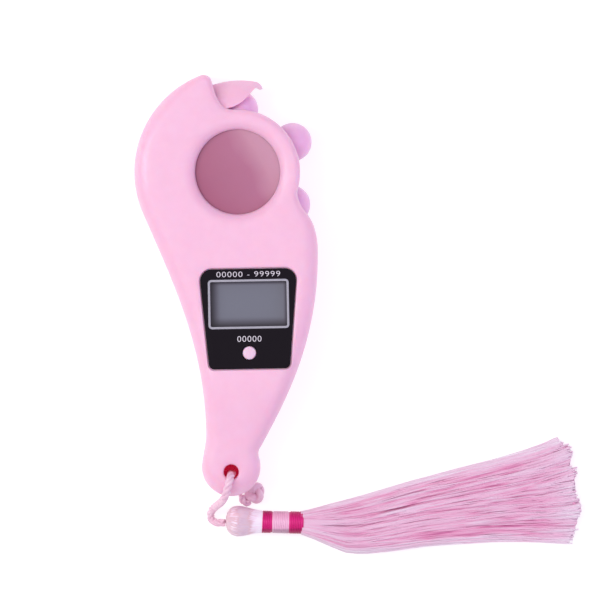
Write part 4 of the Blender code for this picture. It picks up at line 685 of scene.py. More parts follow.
def front_outer(points):
    """Level of the front face with its rolled openings and the panel's recess."""
    levels = split_level + outer_height(points, front_taper, front_crown, front_crown_reach)
    levels -= rolled(np.hypot(*points.T) - window_reach, rim_width, rim_depth)
    hole = points - np.array(tail_hole)
    levels -= rolled(np.hypot(*hole.T) - tail_hole_reach, hole_rim_width, hole_rim_depth)
    from_recess = nearest(points, panel_loop(panel_gap))[0]
    levels -= rolled(from_recess, recess_edge_width, recess_edge_depth)
    levels[inside(points, panel_loop(panel_gap + recess_wall))] = recess_floor
    return levels


def front_inner(points):
    """Level of the inside: seam, wheel plate, pane pocket and hollow."""
    levels = np.full(len(points), split_level + seam_half)
    reach = np.hypot(*points.T)
    levels[reach < chamber_reach - thin_step / 2] = wheel_roof
    levels[reach < pane_pocket - thin_step / 2] = pane_ledge
    deep = inside(points, hollow) & (nearest(points, hollow)[0] > 0.01)
    levels[deep | inside(points, panel_loop(window_frame))] = front_wall_level
    return levels


display_hole = rectangle(
    (panel_middle, display_y), display_width - 2 * frame_line, display_height - 2 * frame_line, 0.3)
button_hole = ring_points(button_reach + 0.3, button_place, 48)
window_hole = ring_points(window_reach, steps=144)
tail_opening = ring_points(tail_hole_reach, tail_hole, 56)
rolls = [share for share, _ in quarter(8)]
front_loops = edge_rings + [window_hole, tail_opening, display_hole, button_hole]
front_loops += [ring_points(window_reach + rim_width * share, steps=144) for share in rolls]
front_loops += [
    ring_points(tail_hole_reach + hole_rim_width * share, tail_hole, 56) for share in rolls[::2]]
front_loops += [panel_loop(grow) for grow in (panel_gap, 0.2, window_frame, 0.33, 0.52)]
front_loops += [*double(ring_points(pane_pocket)), *chamber_rings, hollow]
front_shell = skin(
    "front_shell_piece", front_loops, [window_hole, display_hole, button_hole, tail_opening],
    front_outer, front_inner)

# The hood is part of the front shell: a thin curled leaf in the notch that covers the
# bead at rest there. Its free edge is rounded and its tip curls down past the bead.
hood_table = np.array((
    # angle about the wheel, reach of the free edge, reach of the outer edge, both in mm
    (72.3, 19.04, 19.14), (73.2, 18.82, 19.55), (74.4, 18.72, 19.90), (75.6, 18.85, 20.12),
    (76.7, 18.95, 20.24), (78.5, 18.20, 20.28), (80.5, 17.06, 20.27), (84.6, 15.61, 20.22),
    (88.0, 14.90, 20.20), (93.0, 14.28, 20.15), (100.0, 14.10, 20.05), (110.0, 14.10, 20.05)))
hood_wall = 1.0
hood_rows, hood_columns = 44, 18
hood_start, hood_end = 72.3, 110.0
hood_low, hood_rise = 9.0, 3.915
hood_inner, hood_outer = 13.75, 20.1
tip_start, tip_run, tip_drop = 77.0, 4.1, 0.9
root_start, root_run, root_drop = 88.0, 20.0, 2.2
hood_points = []
for i in range(hood_rows + 1):
    angle = hood_start + (hood_end - hood_start) * (i / hood_rows) ** 1.35
    free, outer = (np.interp(angle, hood_table[:, 0], hood_table[:, c]) for c in (1, 2))
    tip = max(0.0, (tip_start - angle) / tip_run)
    root = np.clip((angle - root_start) / root_run, 0, 1)
    top, under = [], []
    for k in range(hood_columns + 1):
        share = 0.5 - 0.5 * cos(pi * k / hood_columns)
        reach = free + (outer - free) * share
        out = np.clip((reach - hood_inner) / (hood_outer - hood_inner), 0, 1)
        level = hood_low + hood_rise * (1 - out ** 2.2) - tip_drop * tip ** 2
        level -= root_drop * root ** 1.5 * np.clip((reach - 16.2) / 2.6, 0, 1)
        edge = min(k, hood_columns - k, i * 1.6) / (hood_columns * 0.22)
        half = hood_wall / 2 * sqrt(max(0.04, 1 - max(0.0, 1 - edge) ** 2))
        middle = level + hood_wall / 2 + 0.35 * max(0.0, 1 - 3.2 * share) ** 2
        top.append(place(*polar(reach, angle), middle + half))
        under.append(place(*polar(reach, angle), middle - half))
    hood_points += top + under[::-1]
hood_ring = 2 * hood_columns + 2
hood_faces = quads(hood_rows + 1, hood_ring)
for row in (0, hood_rows * hood_ring):
    hood_faces += [
        (row + k, row + k + 1, row + hood_ring - 2 - k, row + hood_ring - 1 - k)
        for k in range(hood_columns)]
hood = new_piece("hood", hood_points, hood_faces, pink_abs, 75)
front_shell = join(front_shell, hood)
paint_hole_shade(front_shell)
seat(front_shell, "front_shell")

# Window pane. A dusky rose disc of translucent acrylic, set in the ring from behind, with a slightly domed
# face. Its colour is painted lighter towards the upper right, a painted reflection, and darker towards the
# lower left, painted shade.
pane_reach, pane_dome_reach, pane_dome, pane_bevel = 10.34, 9.2, 0.4, 0.15
swirls_per_metre = 110
pane_rose = new_material("pane_rose", (0.36, 0.10, 0.19), 0.35, subsurface_weight=0.1,
                         subsurface_scale=3 * MM, specular_ior_level=0.25)


def levels_of(node):
    """Lowest and highest level of a CAD node, in millimetres."""
    return (point.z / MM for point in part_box(node))


def gradient_of(finish, origin, along, swirl_size):
    """A value that runs from 0 at a point to 1 at the end of a vector, with soft swirls."""
    position = add_node(finish, "TexCoord", {}).outputs["Object"]
    swirl = add_node(finish, "TexNoise", {"Vector": position, "Scale": swirls_per_metre})
    size = Vector((swirl_size, swirl_size, 0))
    shifted = add_node(
        finish, "VectorMath", {0: swirl.outputs["Color"], 1: size, 2: position}, operation="MULTIPLY_ADD")
    away = add_node(
        finish, "VectorMath", {0: shifted.outputs[0], 1: origin + size / 2}, operation="SUBTRACT")
    run = add_node(
        finish, "VectorMath", {0: away.outputs[0], 1: along / along.length_squared},
        operation="DOT_PRODUCT")
    return run.outputs["Value"]


# Painted reflection and shade on the pane: the ramp runs from dark at the lower left to light at the upper
# right, with soft swirls.
add_tint(pane_rose, gradient_of(pane_rose, place(-8.5, -5.5, 14), Vector((16.5, 8, 0)) * MM, 4 * MM), (
    (0.00, (0.370, 0.098, 0.185)), (0.40, (0.430, 0.145, 0.240)), (0.65, (0.46, 0.165, 0.27)),
    (0.85, (0.58, 0.285, 0.385)), (1.0, (0.61, 0.32, 0.43))))
pane_low, pane_high = levels_of("window_pane")
pane_profile = [
    (pane_low, 0.0), (pane_low, pane_reach), (pane_high - pane_bevel, pane_reach), (pane_high, 10.2)]
pane_profile += [
    (pane_high + pane_dome * (1 - (reach / pane_dome_reach) ** 2), reach)
    for reach in np.linspace(pane_dome_reach, 0, 25)]
pane = turned("window_pane_disc", pane_profile, place(0, 0, 0), (0, 0, 1), pane_rose, 120, 60)
seat(pane, "window_pane")

# Panel. A black acrylic plate with a polished face, bonded into the recess. It is cut
# out for the display, has a hole for the button, and carries plain white figures.
panel_acrylic = textured(
    "panel_acrylic", (0.0065, 0.0040, 0.0080), 0.18, 90, 0.01, specular_ior_level=0.06)
panel_low, panel_high = levels_of("label_plate")


def flat_plate(name, loop, holes, low, high, round_off, finish):
    """A plate with openings, and small rounds along its upper edges."""
    points, faces = [], []
    profile = [(0.0, low), (0.0, high - round_off)]
    profile += [(round_off * wide, high - round_off * (1 - tall)) for wide, tall in quarter(4)]
    for edge, side in [(loop, 1)] + [(hole, -1) for hole in holes]:
        faces += [tuple(len(points) + i for i in f) for f in quads(len(profile), len(edge))]
        for move, level in profile:
            points += [place(x, y, level) for x, y in inset(edge, side * move)]
    for level, move in ((low, 0.0), (high, round_off)):
        border, inner = inset(loop, move), [inset(hole, -move) for hole in holes]
        flat, cut = flat_net([border, *inner], [], border, inner)
        faces += [tuple(len(points) + i for i in f) for f in cut.tolist()]
        points += [place(x, y, level) for x, y in flat]
    return new_piece(name, points, faces, finish, 9)


button_opening = ring_points(button_reach + 0.12, button_place, 48)
panel = flat_plate("label_plate_acrylic", panel_loop(0), [display_hole, button_opening],
                   panel_low, panel_high, 0.12, panel_acrylic)
figure_paint = textured("figure_paint", (0.80, 0.77, 0.82), 0.5, 3000, 0.1)


def figures(name, text, middle, size, width):
    """Plain printed figures, made a thin mesh of a given width on the panel."""
    curve = bpy.data.curves.new(name, "FONT")
    curve.body = text
    curve.size = size * MM
    curve.space_character = 1.12
    curve.offset = -0.02 * MM
    curve.extrude = 0.01 * MM
    made = new_object(name, curve)
    graph = bpy.context.evaluated_depsgraph_get()
    mesh = bpy.data.meshes.new_from_object(made.evaluated_get(graph))
    bpy.data.objects.remove(made)
    corners = np.array([vertex.co for vertex in mesh.vertices])
    low, high = Vector(corners.min(0)), Vector(corners.max(0))
    wide = Matrix.Scale(width * MM / (high.x - low.x), 4, (1, 0, 0))
    mesh.transform(Matrix.Translation(place(*middle, panel_high + 0.012)) @ wide
                   @ Matrix.Translation(-(low + high) / 2))
    mesh.materials.clear()
    mesh.materials.append(figure_paint)
    made = new_object(name, mesh)
    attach(made, "case")


figures("range_figures", "00000 - 99999", (1.95, -22.52), 1.72, 14.0)
figures("zero_figures", "00000", (1.95, -36.75), 1.85, 5.3)
seat(panel, "label_plate")

# Display frame. A hairline of silvered foil round the display's opening, a rectangle
# with small round corners pressed on the edge of the panel.
foil_silver = textured(
    "foil_silver", (0.33, 0.33, 0.38), 0.5, 1600, 0.1,
    ((0.3, (0.35, 0.35, 0.40)), (0.7, (0.42, 0.42, 0.47))), stretch=(1, 5, 1),
    metallic=0.2, specular_ior_level=0.3)
display_frame = flat_plate(
    "display_frame_foil", rectangle((panel_middle, display_y), display_width, display_height, 0.8),
    [display_hole], *levels_of("display_frame"), 0.08, foil_silver)
seat(display_frame, "display_frame")

# Reset button. A small pale cap of soft silicone with a domed face. It slides in its
# hole in the panel, and a flange under the front wall keeps it in.
flange_reach, flange_height, flange_bevel = 2.4, 0.6, 0.1
cap_round, cap_dome = 0.32, 0.1
button_silicone = textured(
    "button_silicone", (0.88, 0.60, 0.76), 0.45, 900, 0.08,
    ((0.3, (0.87, 0.58, 0.74)), (0.7, (0.90, 0.63, 0.78))),
    subsurface_weight=0.3, subsurface_scale=1.5 * MM)
button_low, button_high = levels_of("reset_button")
flange_top = button_low + flange_height
cap_side = button_high - cap_dome - cap_round
button_profile = [
    (button_low, 0.0), (button_low, flange_reach - flange_bevel), (button_low + flange_bevel, flange_reach),
    (flange_top - flange_bevel, flange_reach), (flange_top, flange_reach - flange_bevel),
    (flange_top, button_reach), (cap_side, button_reach)]
button_profile += [
    (cap_side + cap_round * tall, button_reach - cap_round * wide) for wide, tall in quarter(8)]
button_profile += [
    (button_high - cap_dome * share ** 2, (button_reach - cap_round) * share)
    for share in np.linspace(1, 0, 7)[1:]]
button = turned(
    "reset_button_cap", button_profile, place(*button_place, 0), (0, 0, 1), button_silicone, 56, 50)
seat(button, "reset_button", "reset")

# Screws. Three slotted pan head screws of steel come up through the rear shell and hold
# the halves together, two hold the board, and a short one holds the battery door.
screw_zinc = textured(
    "screw_zinc", (0.58, 0.58, 0.60), 0.32, 900, 0.15, stretch=(1, 1, 4), metallic=1.0)
dress(screw_zinc, *[f"case_screw_{i}" for i in (1, 2, 3)], "board_screw_1", "board_screw_2", "door_screw")

# Battery door. A pink cover in the rear shell over the cell, with three grooves to grip
# it by, held by one screw. It is moulded in the same ABS as the shells.
dress(pink_abs, "battery_door")

# Cord. Three plies of pale pink nylon, laid up right-handed, 1.8 mm across. It comes
# from its knot behind the tail, goes up through the tail's hole, over the tail's end
# and round into the top of the tassel. Each ply is a thread swept along its own line.
cord_radius = 0.9 * MM
cord_route = (
    (0.15, -69.75, 2.10), (-0.95, -68.60, 1.80), (-2.00, -67.30, 2.10), (-2.55, -66.42, 3.60),
    (-2.60, -66.50, 6.50), (-2.60, -66.55, 10.00), (-2.62, -66.60, 12.70), (-2.78, -67.25, 14.50),
    (-3.20, -68.70, 14.95), (-3.75, -70.50, 14.60), (-4.30, -71.80, 13.20), (-4.90, -72.60, 10.60),
    (-5.60, -73.20, 7.20), (-6.50, -73.90, 4.20), (-7.20, -74.80, 2.10), (-7.35, -75.90, 1.35),
    (-6.70, -76.95, 1.80), (-5.60, -77.25, 2.80), (-4.25, -77.20, 3.45))
cord_end_route = (
    (1.20, -72.60, 2.10), (0.65, -72.95, 2.20), (0.08, -72.70, 2.40), (-0.22, -72.05, 2.65),
    (-0.32, -71.35, 2.85))
ply_count, ply_radius, ply_pitch = 3, 0.47 * MM, 4.6 * MM
path_step = 0.35 * MM


def smooth_path(route):
    """Even points on the smooth curve through a route, and the curve's length."""
    points = [place(*p) for p in route]
    ends = [points[0], *points, points[-1]]
    fine = []
    for p0, p1, p2, p3 in zip(ends, ends[1:], ends[2:], ends[3:]):
        for k in range(24):
            t = k / 24
            fine.append(0.5 * (2 * p1 + (p2 - p0) * t + (2 * p0 - 5 * p1 + 4 * p2 - p3) * t ** 2
                               + (3 * p1 - p0 - 3 * p2 + p3) * t ** 3))
    fine.append(points[-1])
    reach = np.cumsum([0.0] + [(b - a).length for a, b in zip(fine, fine[1:])])
    wanted = np.linspace(0, reach[-1], max(3, round(reach[-1] / path_step) + 1))
    axes = [np.interp(wanted, reach, axis) for axis in np.array(fine).T]
    return [Vector(p) for p in zip(*axes)], float(reach[-1])


def plies(path, count, pitch, offset):
    """Lines of the plies that wind round a path."""
    lines = [[] for _ in range(count)]
    side, travelled = None, 0.0
    for i, point in enumerate(path):
        before, after = path[max(i - 1, 0)], path[min(i + 1, len(path) - 1)]
        along = (after - before).normalized()
        if side is None:
            side = along.orthogonal().normalized()
        side = (side - along * side.dot(along)).normalized()
        across = along.cross(side)
        travelled += (point - before).length
        for k, line in enumerate(lines):
            angle = tau * (travelled / pitch + k / count)
            line.append(point + offset * (side * cos(angle) + across * sin(angle)))
    return lines


def line_mesh(name, lines):
    """A mesh of loose edges, one chain for each line."""
    points, edges = [], []
    for line in lines:
        edges += [(len(points) + i, len(points) + i + 1) for i in range(len(line) - 1)]
        points += [tuple(p) for p in line]
    mesh = bpy.data.meshes.new(name)
    mesh.from_pydata(points, edges, [])
    return new_object(name, mesh)


def tree_with(name, inputs):
    """A geometry node tree with named inputs, and the sockets that give their values."""
    tree = bpy.data.node_groups.new(name, "GeometryNodeTree")
    for label, kind in {"Geometry": "Geometry", **inputs}.items():
        tree.interface.new_socket(label, in_out="INPUT", socket_type=f"NodeSocket{kind}")
    tree.interface.new_socket("Geometry", in_out="OUTPUT", socket_type="NodeSocketGeometry")
    return tree, tree.nodes.new("NodeGroupInput").outputs


def end_with_threads(tree, line, radius, sides, finish):
    """End a tree: sweep a round thread along its line, and give it a finish."""
    profile = link_node(
        tree, "GeometryNodeCurvePrimitiveCircle", {"Radius": radius, "Resolution": sides})
    swept = link_node(tree, "GeometryNodeCurveToMesh", {
        "Curve": line, "Profile Curve": profile.outputs[0], "Fill Caps": True})
    real = link_node(tree, "GeometryNodeRealizeInstances", {"Geometry": swept.outputs[0]})
    dressed = link_node(
        tree, "GeometryNodeSetMaterial", {"Geometry": real.outputs[0], "Material": finish})
    link_node(tree, "NodeGroupOutput", {"Geometry": dressed.outputs[0]})


def run_tree(holder, tree, values):
    """Apply a tree to an object with named values, and leave a plain mesh."""
    modifier = holder.modifiers.new("tree", "NODES")
    modifier.node_group = tree
    for item in tree.interface.items_tree:
        if item.name in values:
            modifier[item.identifier] = values[item.name]
    graph = bpy.context.evaluated_depsgraph_get()
    mesh = bpy.data.meshes.new_from_object(holder.evaluated_get(graph))
    holder.modifiers.remove(modifier)
    old, holder.data = holder.data, mesh
    bpy.data.meshes.remove(old)
    mesh.name = holder.name
    mesh.shade_smooth()
    return holder


def give_tints(made, tints):
    """Write the floss_tint attribute, one value for each point of a mesh object."""
    made.data.attributes.new("floss_tint", "FLOAT", "POINT").data.foreach_set("value", tints)


thread_tree, given = tree_with(
    "threads_on_lines", {"Thread Radius": "Float", "Sides": "Int", "Finish": "Material"})
line = link_node(thread_tree, "GeometryNodeMeshToCurve", {"Mesh": given["Geometry"]})
end_with_threads(
    thread_tree, line.outputs[0], given["Thread Radius"], given["Sides"], given["Finish"])


def threads(name, lines, radius, sides, finish, tints=()):
    """A piece made of round threads along lines, with a tint for each of their points."""
    made = line_mesh(name, lines)
    if tints:
        give_tints(made, tints)
    return run_tree(made, thread_tree, {"Thread Radius": radius, "Sides": sides, "Finish": finish})


cord_nylon = textured(
    "cord_nylon", (0.92, 0.60, 0.73), 0.3, 500, 0.06,
    ((0.3, (0.83, 0.50, 0.64)), (0.7, (0.89, 0.62, 0.74))), coat_weight=0.25, coat_roughness=0.2)


def laid_cord(name, path):
    """The cord's plies along a path."""
    lines = plies(path, ply_count, ply_pitch, cord_radius - ply_radius)
    return threads(name, lines, ply_radius, 12, cord_nylon)


cord_path, cord_length = smooth_path(cord_route)
cord = laid_cord("cord_plies", cord_path)
cord_end = laid_cord("cord_end_plies", smooth_path(cord_end_route)[0])
seat(cord_end, "cord_end")

# Knot. The same cord tied on itself and pulled tight, a rounded lump on the table behind
# the tail. Its line is a trefoil, the closed form of an overhand knot: it goes twice
# round and crosses itself three times.
knot_centre = place(2.58, -70.90, 2.45)
knot_turn, knot_swing, knot_rise = 1.16 * MM, 0.36, 0.95 * MM
knot_start = 0.9
knot_stretch = (0.95, 1.06)
knot_ply_radius, knot_ply_pitch, knot_ply_offset = 0.68 * MM, 15 * MM, 0.22 * MM
knot_path = []
for t in np.linspace(0, tau, 151):
    reach = knot_turn * (1 + knot_swing * cos(3 * t))
    angle = 2 * t + knot_start
    knot_path.append(knot_centre + Vector((
        reach * cos(angle) * knot_stretch[0], reach * sin(angle) * knot_stretch[1],
        knot_rise * sin(3 * t))))
knot = threads("cord_knot_turns", plies(knot_path, 2, knot_ply_pitch, knot_ply_offset),
               knot_ply_radius, 16, cord_nylon)
seat(knot, "cord_knot")

# Tassel head. Pearl lilac floss gathered over a ball: fine threads run from the crown,
# over the ball and in under the first wrap. A smooth core fills the gaps between them.
tassel_start = Vector((-3.95, -76.85, 3.65))
tassel_lean = radians(-2.4)
tassel_axis = (cos(tassel_lean), sin(tassel_lean), 0)
head_table = np.array((
    # distance from the crown, reach
    (0.00, 0.00), (0.10, 1.10), (0.35, 1.95), (0.75, 2.60), (1.40, 3.15), (2.30, 3.42), (3.50, 3.35),
    (4.80, 3.05), (6.20, 2.72), (7.75, 2.48), (8.20, 2.35)))
# The tints paint a highlight: a ring of paler glints 1.4 to 2.3 mm from the crown, stronger on some threads
# than on others.
head_tints = np.array((
    # distance from the crown, tint, how much it varies from thread to thread
    (0.0, 0.58, 0.05), (0.9, 0.58, 0.12), (1.4, 0.68, 0.26), (2.3, 0.66, 0.24), (3.0, 0.42, 0.10),
    (4.6, 0.44, 0.10), (6.0, 0.84, 0.14), (7.0, 0.97, 0.10), (7.7, 1.00, 0.06), (8.3, 1.00, 0.06)))
head_end = 8.2
core_start, core_drop = 0.1, 0.18
floss_count, floss_radius = 110, 0.125
pearl_floss = textured(
    "pearl_floss", (0.90, 0.58, 0.72), 0.28, 900, 0.12, stretch=(0.2, 1, 1),
    coat_weight=0.25, coat_roughness=0.2)


def tinted(finish, stops):
    """Base colour from a ramp over the floss_tint attribute of the threads."""
    value = add_node(finish, "Attribute", {}, attribute_name="floss_tint")
    add_tint(finish, value.outputs["Fac"], stops)


def on_tassel(along, out, angle):
    """A point by its distance along the tassel's axis, which leans a little."""
    side = out * cos(angle)
    return place(
        tassel_start.x + along * cos(tassel_lean) - side * sin(tassel_lean),
        tassel_start.y + along * sin(tassel_lean) + side * cos(tassel_lean),
        tassel_start.z + out * sin(angle))


tinted(pearl_floss, (
    (0.10, (0.70, 0.42, 0.56)), (0.42, (0.80, 0.62, 0.73)), (0.62, (0.81, 0.55, 0.61)),
    (0.82, (0.97, 0.80, 0.93)), (1.00, (1.00, 0.93, 1.00))))
core_profile = [(core_start, 0.0)] + [
    (d, max(0.0, np.interp(d, *head_table.T) - core_drop))
    for d in np.linspace(core_start, head_end, 40)[1:]]
core = turned("tassel_head_core", core_profile, place(*tassel_start), tassel_axis, pearl_floss)
give_tints(core, [0.4] * len(core.data.vertices))
chance = np.random.default_rng(11)
floss_lines, floss_tints = [], []
for i in range(floss_count):
    around = tau * i / floss_count
    line, own = [], chance.uniform(-1, 1)
    for k in range(45):
        d = head_end * (0.5 - 0.5 * cos(pi * k / 44))
        out = max(0.10, np.interp(d, *head_table.T) - floss_radius)
        line.append(on_tassel(d, out, around + 0.05 * d + 0.025 * sin(7 * around + 0.9 * d)))
        tint, spread = (np.interp(d, head_tints[:, 0], head_tints[:, c]) for c in (1, 2))
        floss_tints.append(min(1.0, tint + spread * (own + 0.5 * sin(5 * around + 3 * d))))
    floss_lines.append(line)
floss = threads("tassel_head_floss", floss_lines, floss_radius * MM, 6, pearl_floss, floss_tints)
tassel_head = join(core, floss)
tassel_head.name = "tassel_head_piece"
seat(tassel_head, "tassel_head")

# Wraps. Three tight windings of silk thread round the neck, magenta, pink and magenta,
# each one unbroken helix of touching turns over the gathered floss.
wrap_ends = (7.80, 10.22, 13.92, 17.12)
wrap_reach, wrap_thread = 2.52, 0.19
wrap_core = wrap_reach - wrap_thread
wrap_tree, given = tree_with("thread_winding", {
    "Turns": "Float", "Core Radius": "Float", "Width": "Float", "Thread Radius": "Float",
    "Finish": "Material"})
helix = link_node(wrap_tree, "GeometryNodeCurveSpiral", {
    "Resolution": 44, "Rotations": given["Turns"], "Start Radius": given["Core Radius"],
    "End Radius": given["Core Radius"], "Height": given["Width"]})
end_with_threads(wrap_tree, helix.outputs[0], given["Thread Radius"], 8, given["Finish"])
magenta_silk = textured(
    "magenta_silk", (0.70, 0.02, 0.21), 0.35, 2500, 0.15, stretch=(1, 0.2, 0.2),
    specular_ior_level=0.35)
pink_silk = textured(
    "pink_silk", (0.96, 0.55, 0.79), 0.3, 2500, 0.15, stretch=(1, 0.2, 0.2),
    sheen_weight=0.2, coat_weight=0.15)
# Painted light on the wraps: each ramp runs up across a winding, with painted shade along its lower side
# and top and a painted highlight band across its middle.
painted_light_start, painted_light_run = on_tassel(12, wrap_reach, pi), Vector((0, 2 * wrap_reach * MM, 0))
for finish, stops in (
    (magenta_silk, ((0.00, (0.42, 0.004, 0.10)), (0.19, (0.46, 0.005, 0.12)), (0.24, (0.68, 0.010, 0.19)),
                    (0.55, (0.78, 0.020, 0.25)), (0.85, (0.58, 0.006, 0.15)), (1.00, (0.40, 0.004, 0.10)))),
    (pink_silk, ((0.00, (0.50, 0.26, 0.38)), (0.17, (0.58, 0.32, 0.45)), (0.24, (0.93, 0.52, 0.72)),
                 (0.55, (0.96, 0.58, 0.77)), (0.85, (0.86, 0.43, 0.62)), (1.00, (0.66, 0.31, 0.46)))),
):
    add_tint(finish, gradient_of(finish, painted_light_start, painted_light_run, 0.4 * MM), stops)
wraps = []
for i, (start, end) in enumerate(zip(wrap_ends, wrap_ends[1:]), 1):
    finish, slot = (pink_silk, "pink_thread") if i == 2 else (magenta_silk, "magenta_thread")
    width = end - start - 2 * wrap_thread
    winding = run_tree(
        line_mesh(f"wrap_{i}_winding", [[Vector(), Vector((0, 0, MM))]]), wrap_tree, {
            "Turns": width / (2.1 * wrap_thread), "Core Radius": wrap_core * MM,
            "Width": width * MM, "Thread Radius": wrap_thread * MM, "Finish": finish})
    winding.data.transform(
        Matrix.Translation(on_tassel(start + wrap_thread, 0, 0)) @ Matrix.Rotation(tassel_lean, 4, "Z")
        @ Matrix.Rotation(pi / 2, 4, "Y"))
    under = turned(
        f"wrap_{i}_under", [(0.0, 0.0), (0.0, wrap_core), (end - start, wrap_core), (end - start, 0.0)],
        on_tassel(start, 0, 0), tassel_axis, finish)
    wraps.append(join(winding, under))
    seat(wraps[-1], f"tassel_wrap_{i}")

# Fringe. Several hundred threads of silky orchid floss that leave the neck, fan out to a flat sheaf on the
# table and end in ragged tufts. Each is a swept line of its own, and its tint runs along it: painted shade
# makes it deeper pink in the hollows, and it is pale where the floss is thin.
upper_edge = np.array((
    (13.0, -75.10), (19.0, -73.57), (26.0, -71.87), (37.1, -68.77), (48.1, -66.01), (55.5, -64.32),
    (62.8, -62.25), (66.5, -60.99), (69.8, -59.58), (76.0, -57.0)))
lower_edge = np.array((
    (13.0, -80.10), (17.8, -82.34), (22.1, -84.25), (25.8, -84.68), (33.1, -84.09), (40.4, -83.18),
    (55.1, -82.49), (62.4, -82.62), (71.8, -83.29), (76.0, -83.4)))
tuft_ends = np.array((
    # share across the sheaf from its lower edge, distance of the tuft's end
    (-1.00, 70.9), (-0.96, 71.6), (-0.88, 72.6), (-0.76, 73.1), (-0.62, 73.5), (-0.50, 73.9),
    (-0.40, 74.7), (-0.30, 74.1), (-0.18, 73.3), (0.02, 73.3), (0.18, 73.0), (0.24, 73.9), (0.29, 72.9),
    (0.42, 72.2), (0.53, 72.4), (0.58, 72.9), (0.66, 72.4), (0.74, 71.4), (0.84, 70.4), (0.95, 69.9),
    (1.00, 69.6)))
half_table = np.array((
    # distance along the sheaf, half its thickness
    (12.6, 1.9), (15.0, 2.3), (20.0, 2.5), (30.0, 2.3), (50.0, 1.9), (66.0, 1.4), (75.0, 1.1)))
fringe_start, fringe_settled, fringe_lift = 12.6, 21.6, 0.12
fringe_count, fringe_steps, fringe_radius = 640, 24, 0.18
thread_margin, pale_edge, pale_tail, tail_run = 0.10, 0.80, 66.0, 8.0
mass_rows, mass_sides, mass_inside, mass_margin, mass_short = 90, 220, 0.12, 0.35, 0.8
fringe_floss = textured(
    "fringe_floss", (1.0, 0.54, 0.72), 0.4, 2200, 0.08, (), 2.0, (0.1, 1, 1),
    specular_ior_level=0.3)
tinted(fringe_floss, (
    (0.00, (0.62, 0.17, 0.36)), (0.26, (0.83, 0.36, 0.57)), (0.50, (0.87, 0.53, 0.70)),
    (0.76, (0.88, 0.68, 0.81)), (1.00, (0.91, 0.83, 0.90))))
coarse = chance.normal(0, 1, (26, 7))
streaks = chance.normal(0, 1, (90, 22))
hollows = [(chance.uniform(-0.85, 0.8), chance.uniform(0.12, 0.9), chance.uniform(0.02, 0.06),
            chance.uniform(0.012, 0.024)) for _ in range(110)]


def woven(table, across, along):
    """Smooth value between the numbers of a table."""
    rows, columns = table.shape
    u = np.clip((across + 1) / 2, 0, 0.9999) * (rows - 1)
    v = np.clip(along, 0, 0.9999) * (columns - 1)
    i, j = int(u), int(v)
    a, b = ease(u - i), ease(v - j)
    return (1 - a, a) @ table[i:i + 2, j:j + 2] @ (1 - b, b)


def hollow_at(across, along):
    """How deep a point of the sheaf lies in one of its long narrow hollows, up to 1."""
    return min(1.0, sum(
        exp(-((across - place_across - 0.12 * (along - place_along) * place_across) / width) ** 2
            - ((along - place_along) / length) ** 2)
        for place_across, place_along, length, width in hollows))


def sheaf_half(x):
    """Half the sheaf's thickness at a distance along it."""
    return np.interp(x, *half_table.T)


def sheaf_level(x):
    """Height of the sheaf's middle, which sinks from the neck to the table."""
    share = ease(np.clip((x - fringe_start) / (fringe_settled - fringe_start), 0, 1))
    return tassel_start.z + (sheaf_half(x) + fringe_lift - tassel_start.z) * share


def sheaf_side(x, across, margin):
    """Place across the table of a point of the sheaf, with a margin off both its edges."""
    high, low = np.interp(x, *upper_edge.T) - margin, np.interp(x, *lower_edge.T) + margin
    return (high + low) / 2 + across * (high - low) / 2


def sheaf_bulge(across):
    """Share of the sheaf's thickness that is left at a place across it."""
    return sqrt(max(0.0, 1 - abs(across) ** 3))


def sheaf_ridge(across, along):
    """Rise of the sheaf's locks over its even surface, and their hollows."""
    return min(1.0, 8 * along) * (
        0.05 * woven(streaks, across, along) + 0.18 * woven(coarse, across, along)
        - 0.12 * hollow_at(across, along))


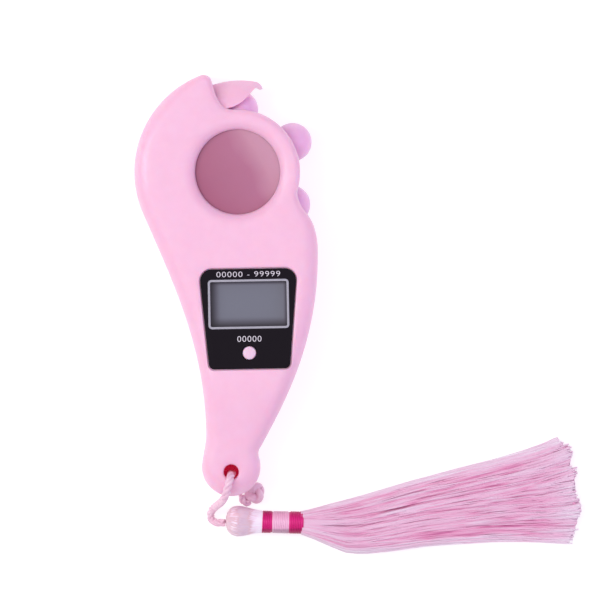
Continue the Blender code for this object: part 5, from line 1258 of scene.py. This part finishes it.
fringe_lines, fringe_tints = [], []
for i in range(fringe_count):
    side = (i + chance.uniform(0.1, 0.9)) / fringe_count * 2 - 1
    layer = 1 - 0.9 * chance.random() ** 1.6
    drift, crossing = chance.normal(0, 0.06), chance.normal(0, 0.07)
    if chance.random() < 0.07:
        drift, crossing, layer = chance.normal(0, 0.16), chance.normal(0, 0.11), 1.04
    own = chance.normal(0, 0.03) + (0.13 if layer > 1.03 else 0)
    crinkle, phase, beats = chance.normal(0, 0.09), chance.uniform(0, tau), chance.uniform(5, 12)
    end_x = np.interp(side, *tuft_ends.T) - 0.9 * chance.random() ** 2
    if chance.random() < 0.06:
        end_x -= chance.uniform(1, 6)
    line = []
    for s in np.linspace(0, 1, fringe_steps + 1):
        x = fringe_start + (end_x - fringe_start) * s
        across = side + drift * (s - 0.3) + crossing * sin(pi * s)
        across = np.clip(across + 0.008 * woven(coarse, side, s) * (1 - side * side), -1, 1)
        y = sheaf_side(x, across, thread_margin)
        y += crinkle * sin(beats * s + phase) * min(1.0, 3 * s) * (1 - across * across * 0.7)
        rise = layer * sheaf_half(x) + sheaf_ridge(across, s)
        z = sheaf_level(x) + rise * max(sheaf_bulge(across), 0.12)
        line.append(place(x, y, max(z, fringe_radius + 0.02)))
        edge = max(0.0, abs(across) - pale_edge) / (1 - pale_edge)
        tail = max(0.0, (x - pale_tail) / tail_run)
        tint = 0.45 + 0.06 * woven(streaks, across, s) + 0.07 * woven(coarse, across, s) + own
        # Painted shade: the tint falls where the thread runs through one of the sheaf's hollows.
        tint += 0.30 * edge + 0.26 * tail ** 1.3 - 0.42 * hollow_at(across, s)
        fringe_tints.append(np.clip(tint, 0, 1))
    fringe_lines.append(line)
fringe = threads("tassel_fringe", fringe_lines, fringe_radius * MM, 4, fringe_floss, fringe_tints)

# The threads that lie inside the sheaf are one closed mass under those that show.
mass_points, mass_tints = [], []
for s in np.linspace(0, 1, mass_rows + 1):
    for k in range(mass_sides):
        angle = tau * k / mass_sides
        across = cos(angle)
        x = fringe_start + (np.interp(across, *tuft_ends.T) - mass_short - fringe_start) * s
        up = np.sign(sin(angle)) * sheaf_bulge(across)
        z = sheaf_level(x) + up * (sheaf_half(x) - mass_inside)
        z += sheaf_ridge(across, s) * max(0.0, up)
        mass_points.append(place(x, sheaf_side(x, across, mass_margin), z))
        # Painted shade on the mass as well, deeper in the hollows.
        mass_tints.append(0.42 + 0.09 * woven(streaks, across, s) - 0.40 * hollow_at(across, s))
mass_faces = quads(mass_rows + 1, mass_sides)
for row in (0, mass_rows * mass_sides):
    for k in range(mass_sides // 2):
        ends = dict.fromkeys((k, k + 1, mass_sides - k - 1, (mass_sides - k) % mass_sides))
        mass_faces.append(tuple(row + j for j in ends))
mass = new_piece("fringe_mass", mass_points, mass_faces, fringe_floss)
give_tints(mass, mass_tints)
seat(join(fringe, mass), "tassel_skirt")

# The cord is seated last, when the pieces that hang on it have been made.
seat(cord, "cord")
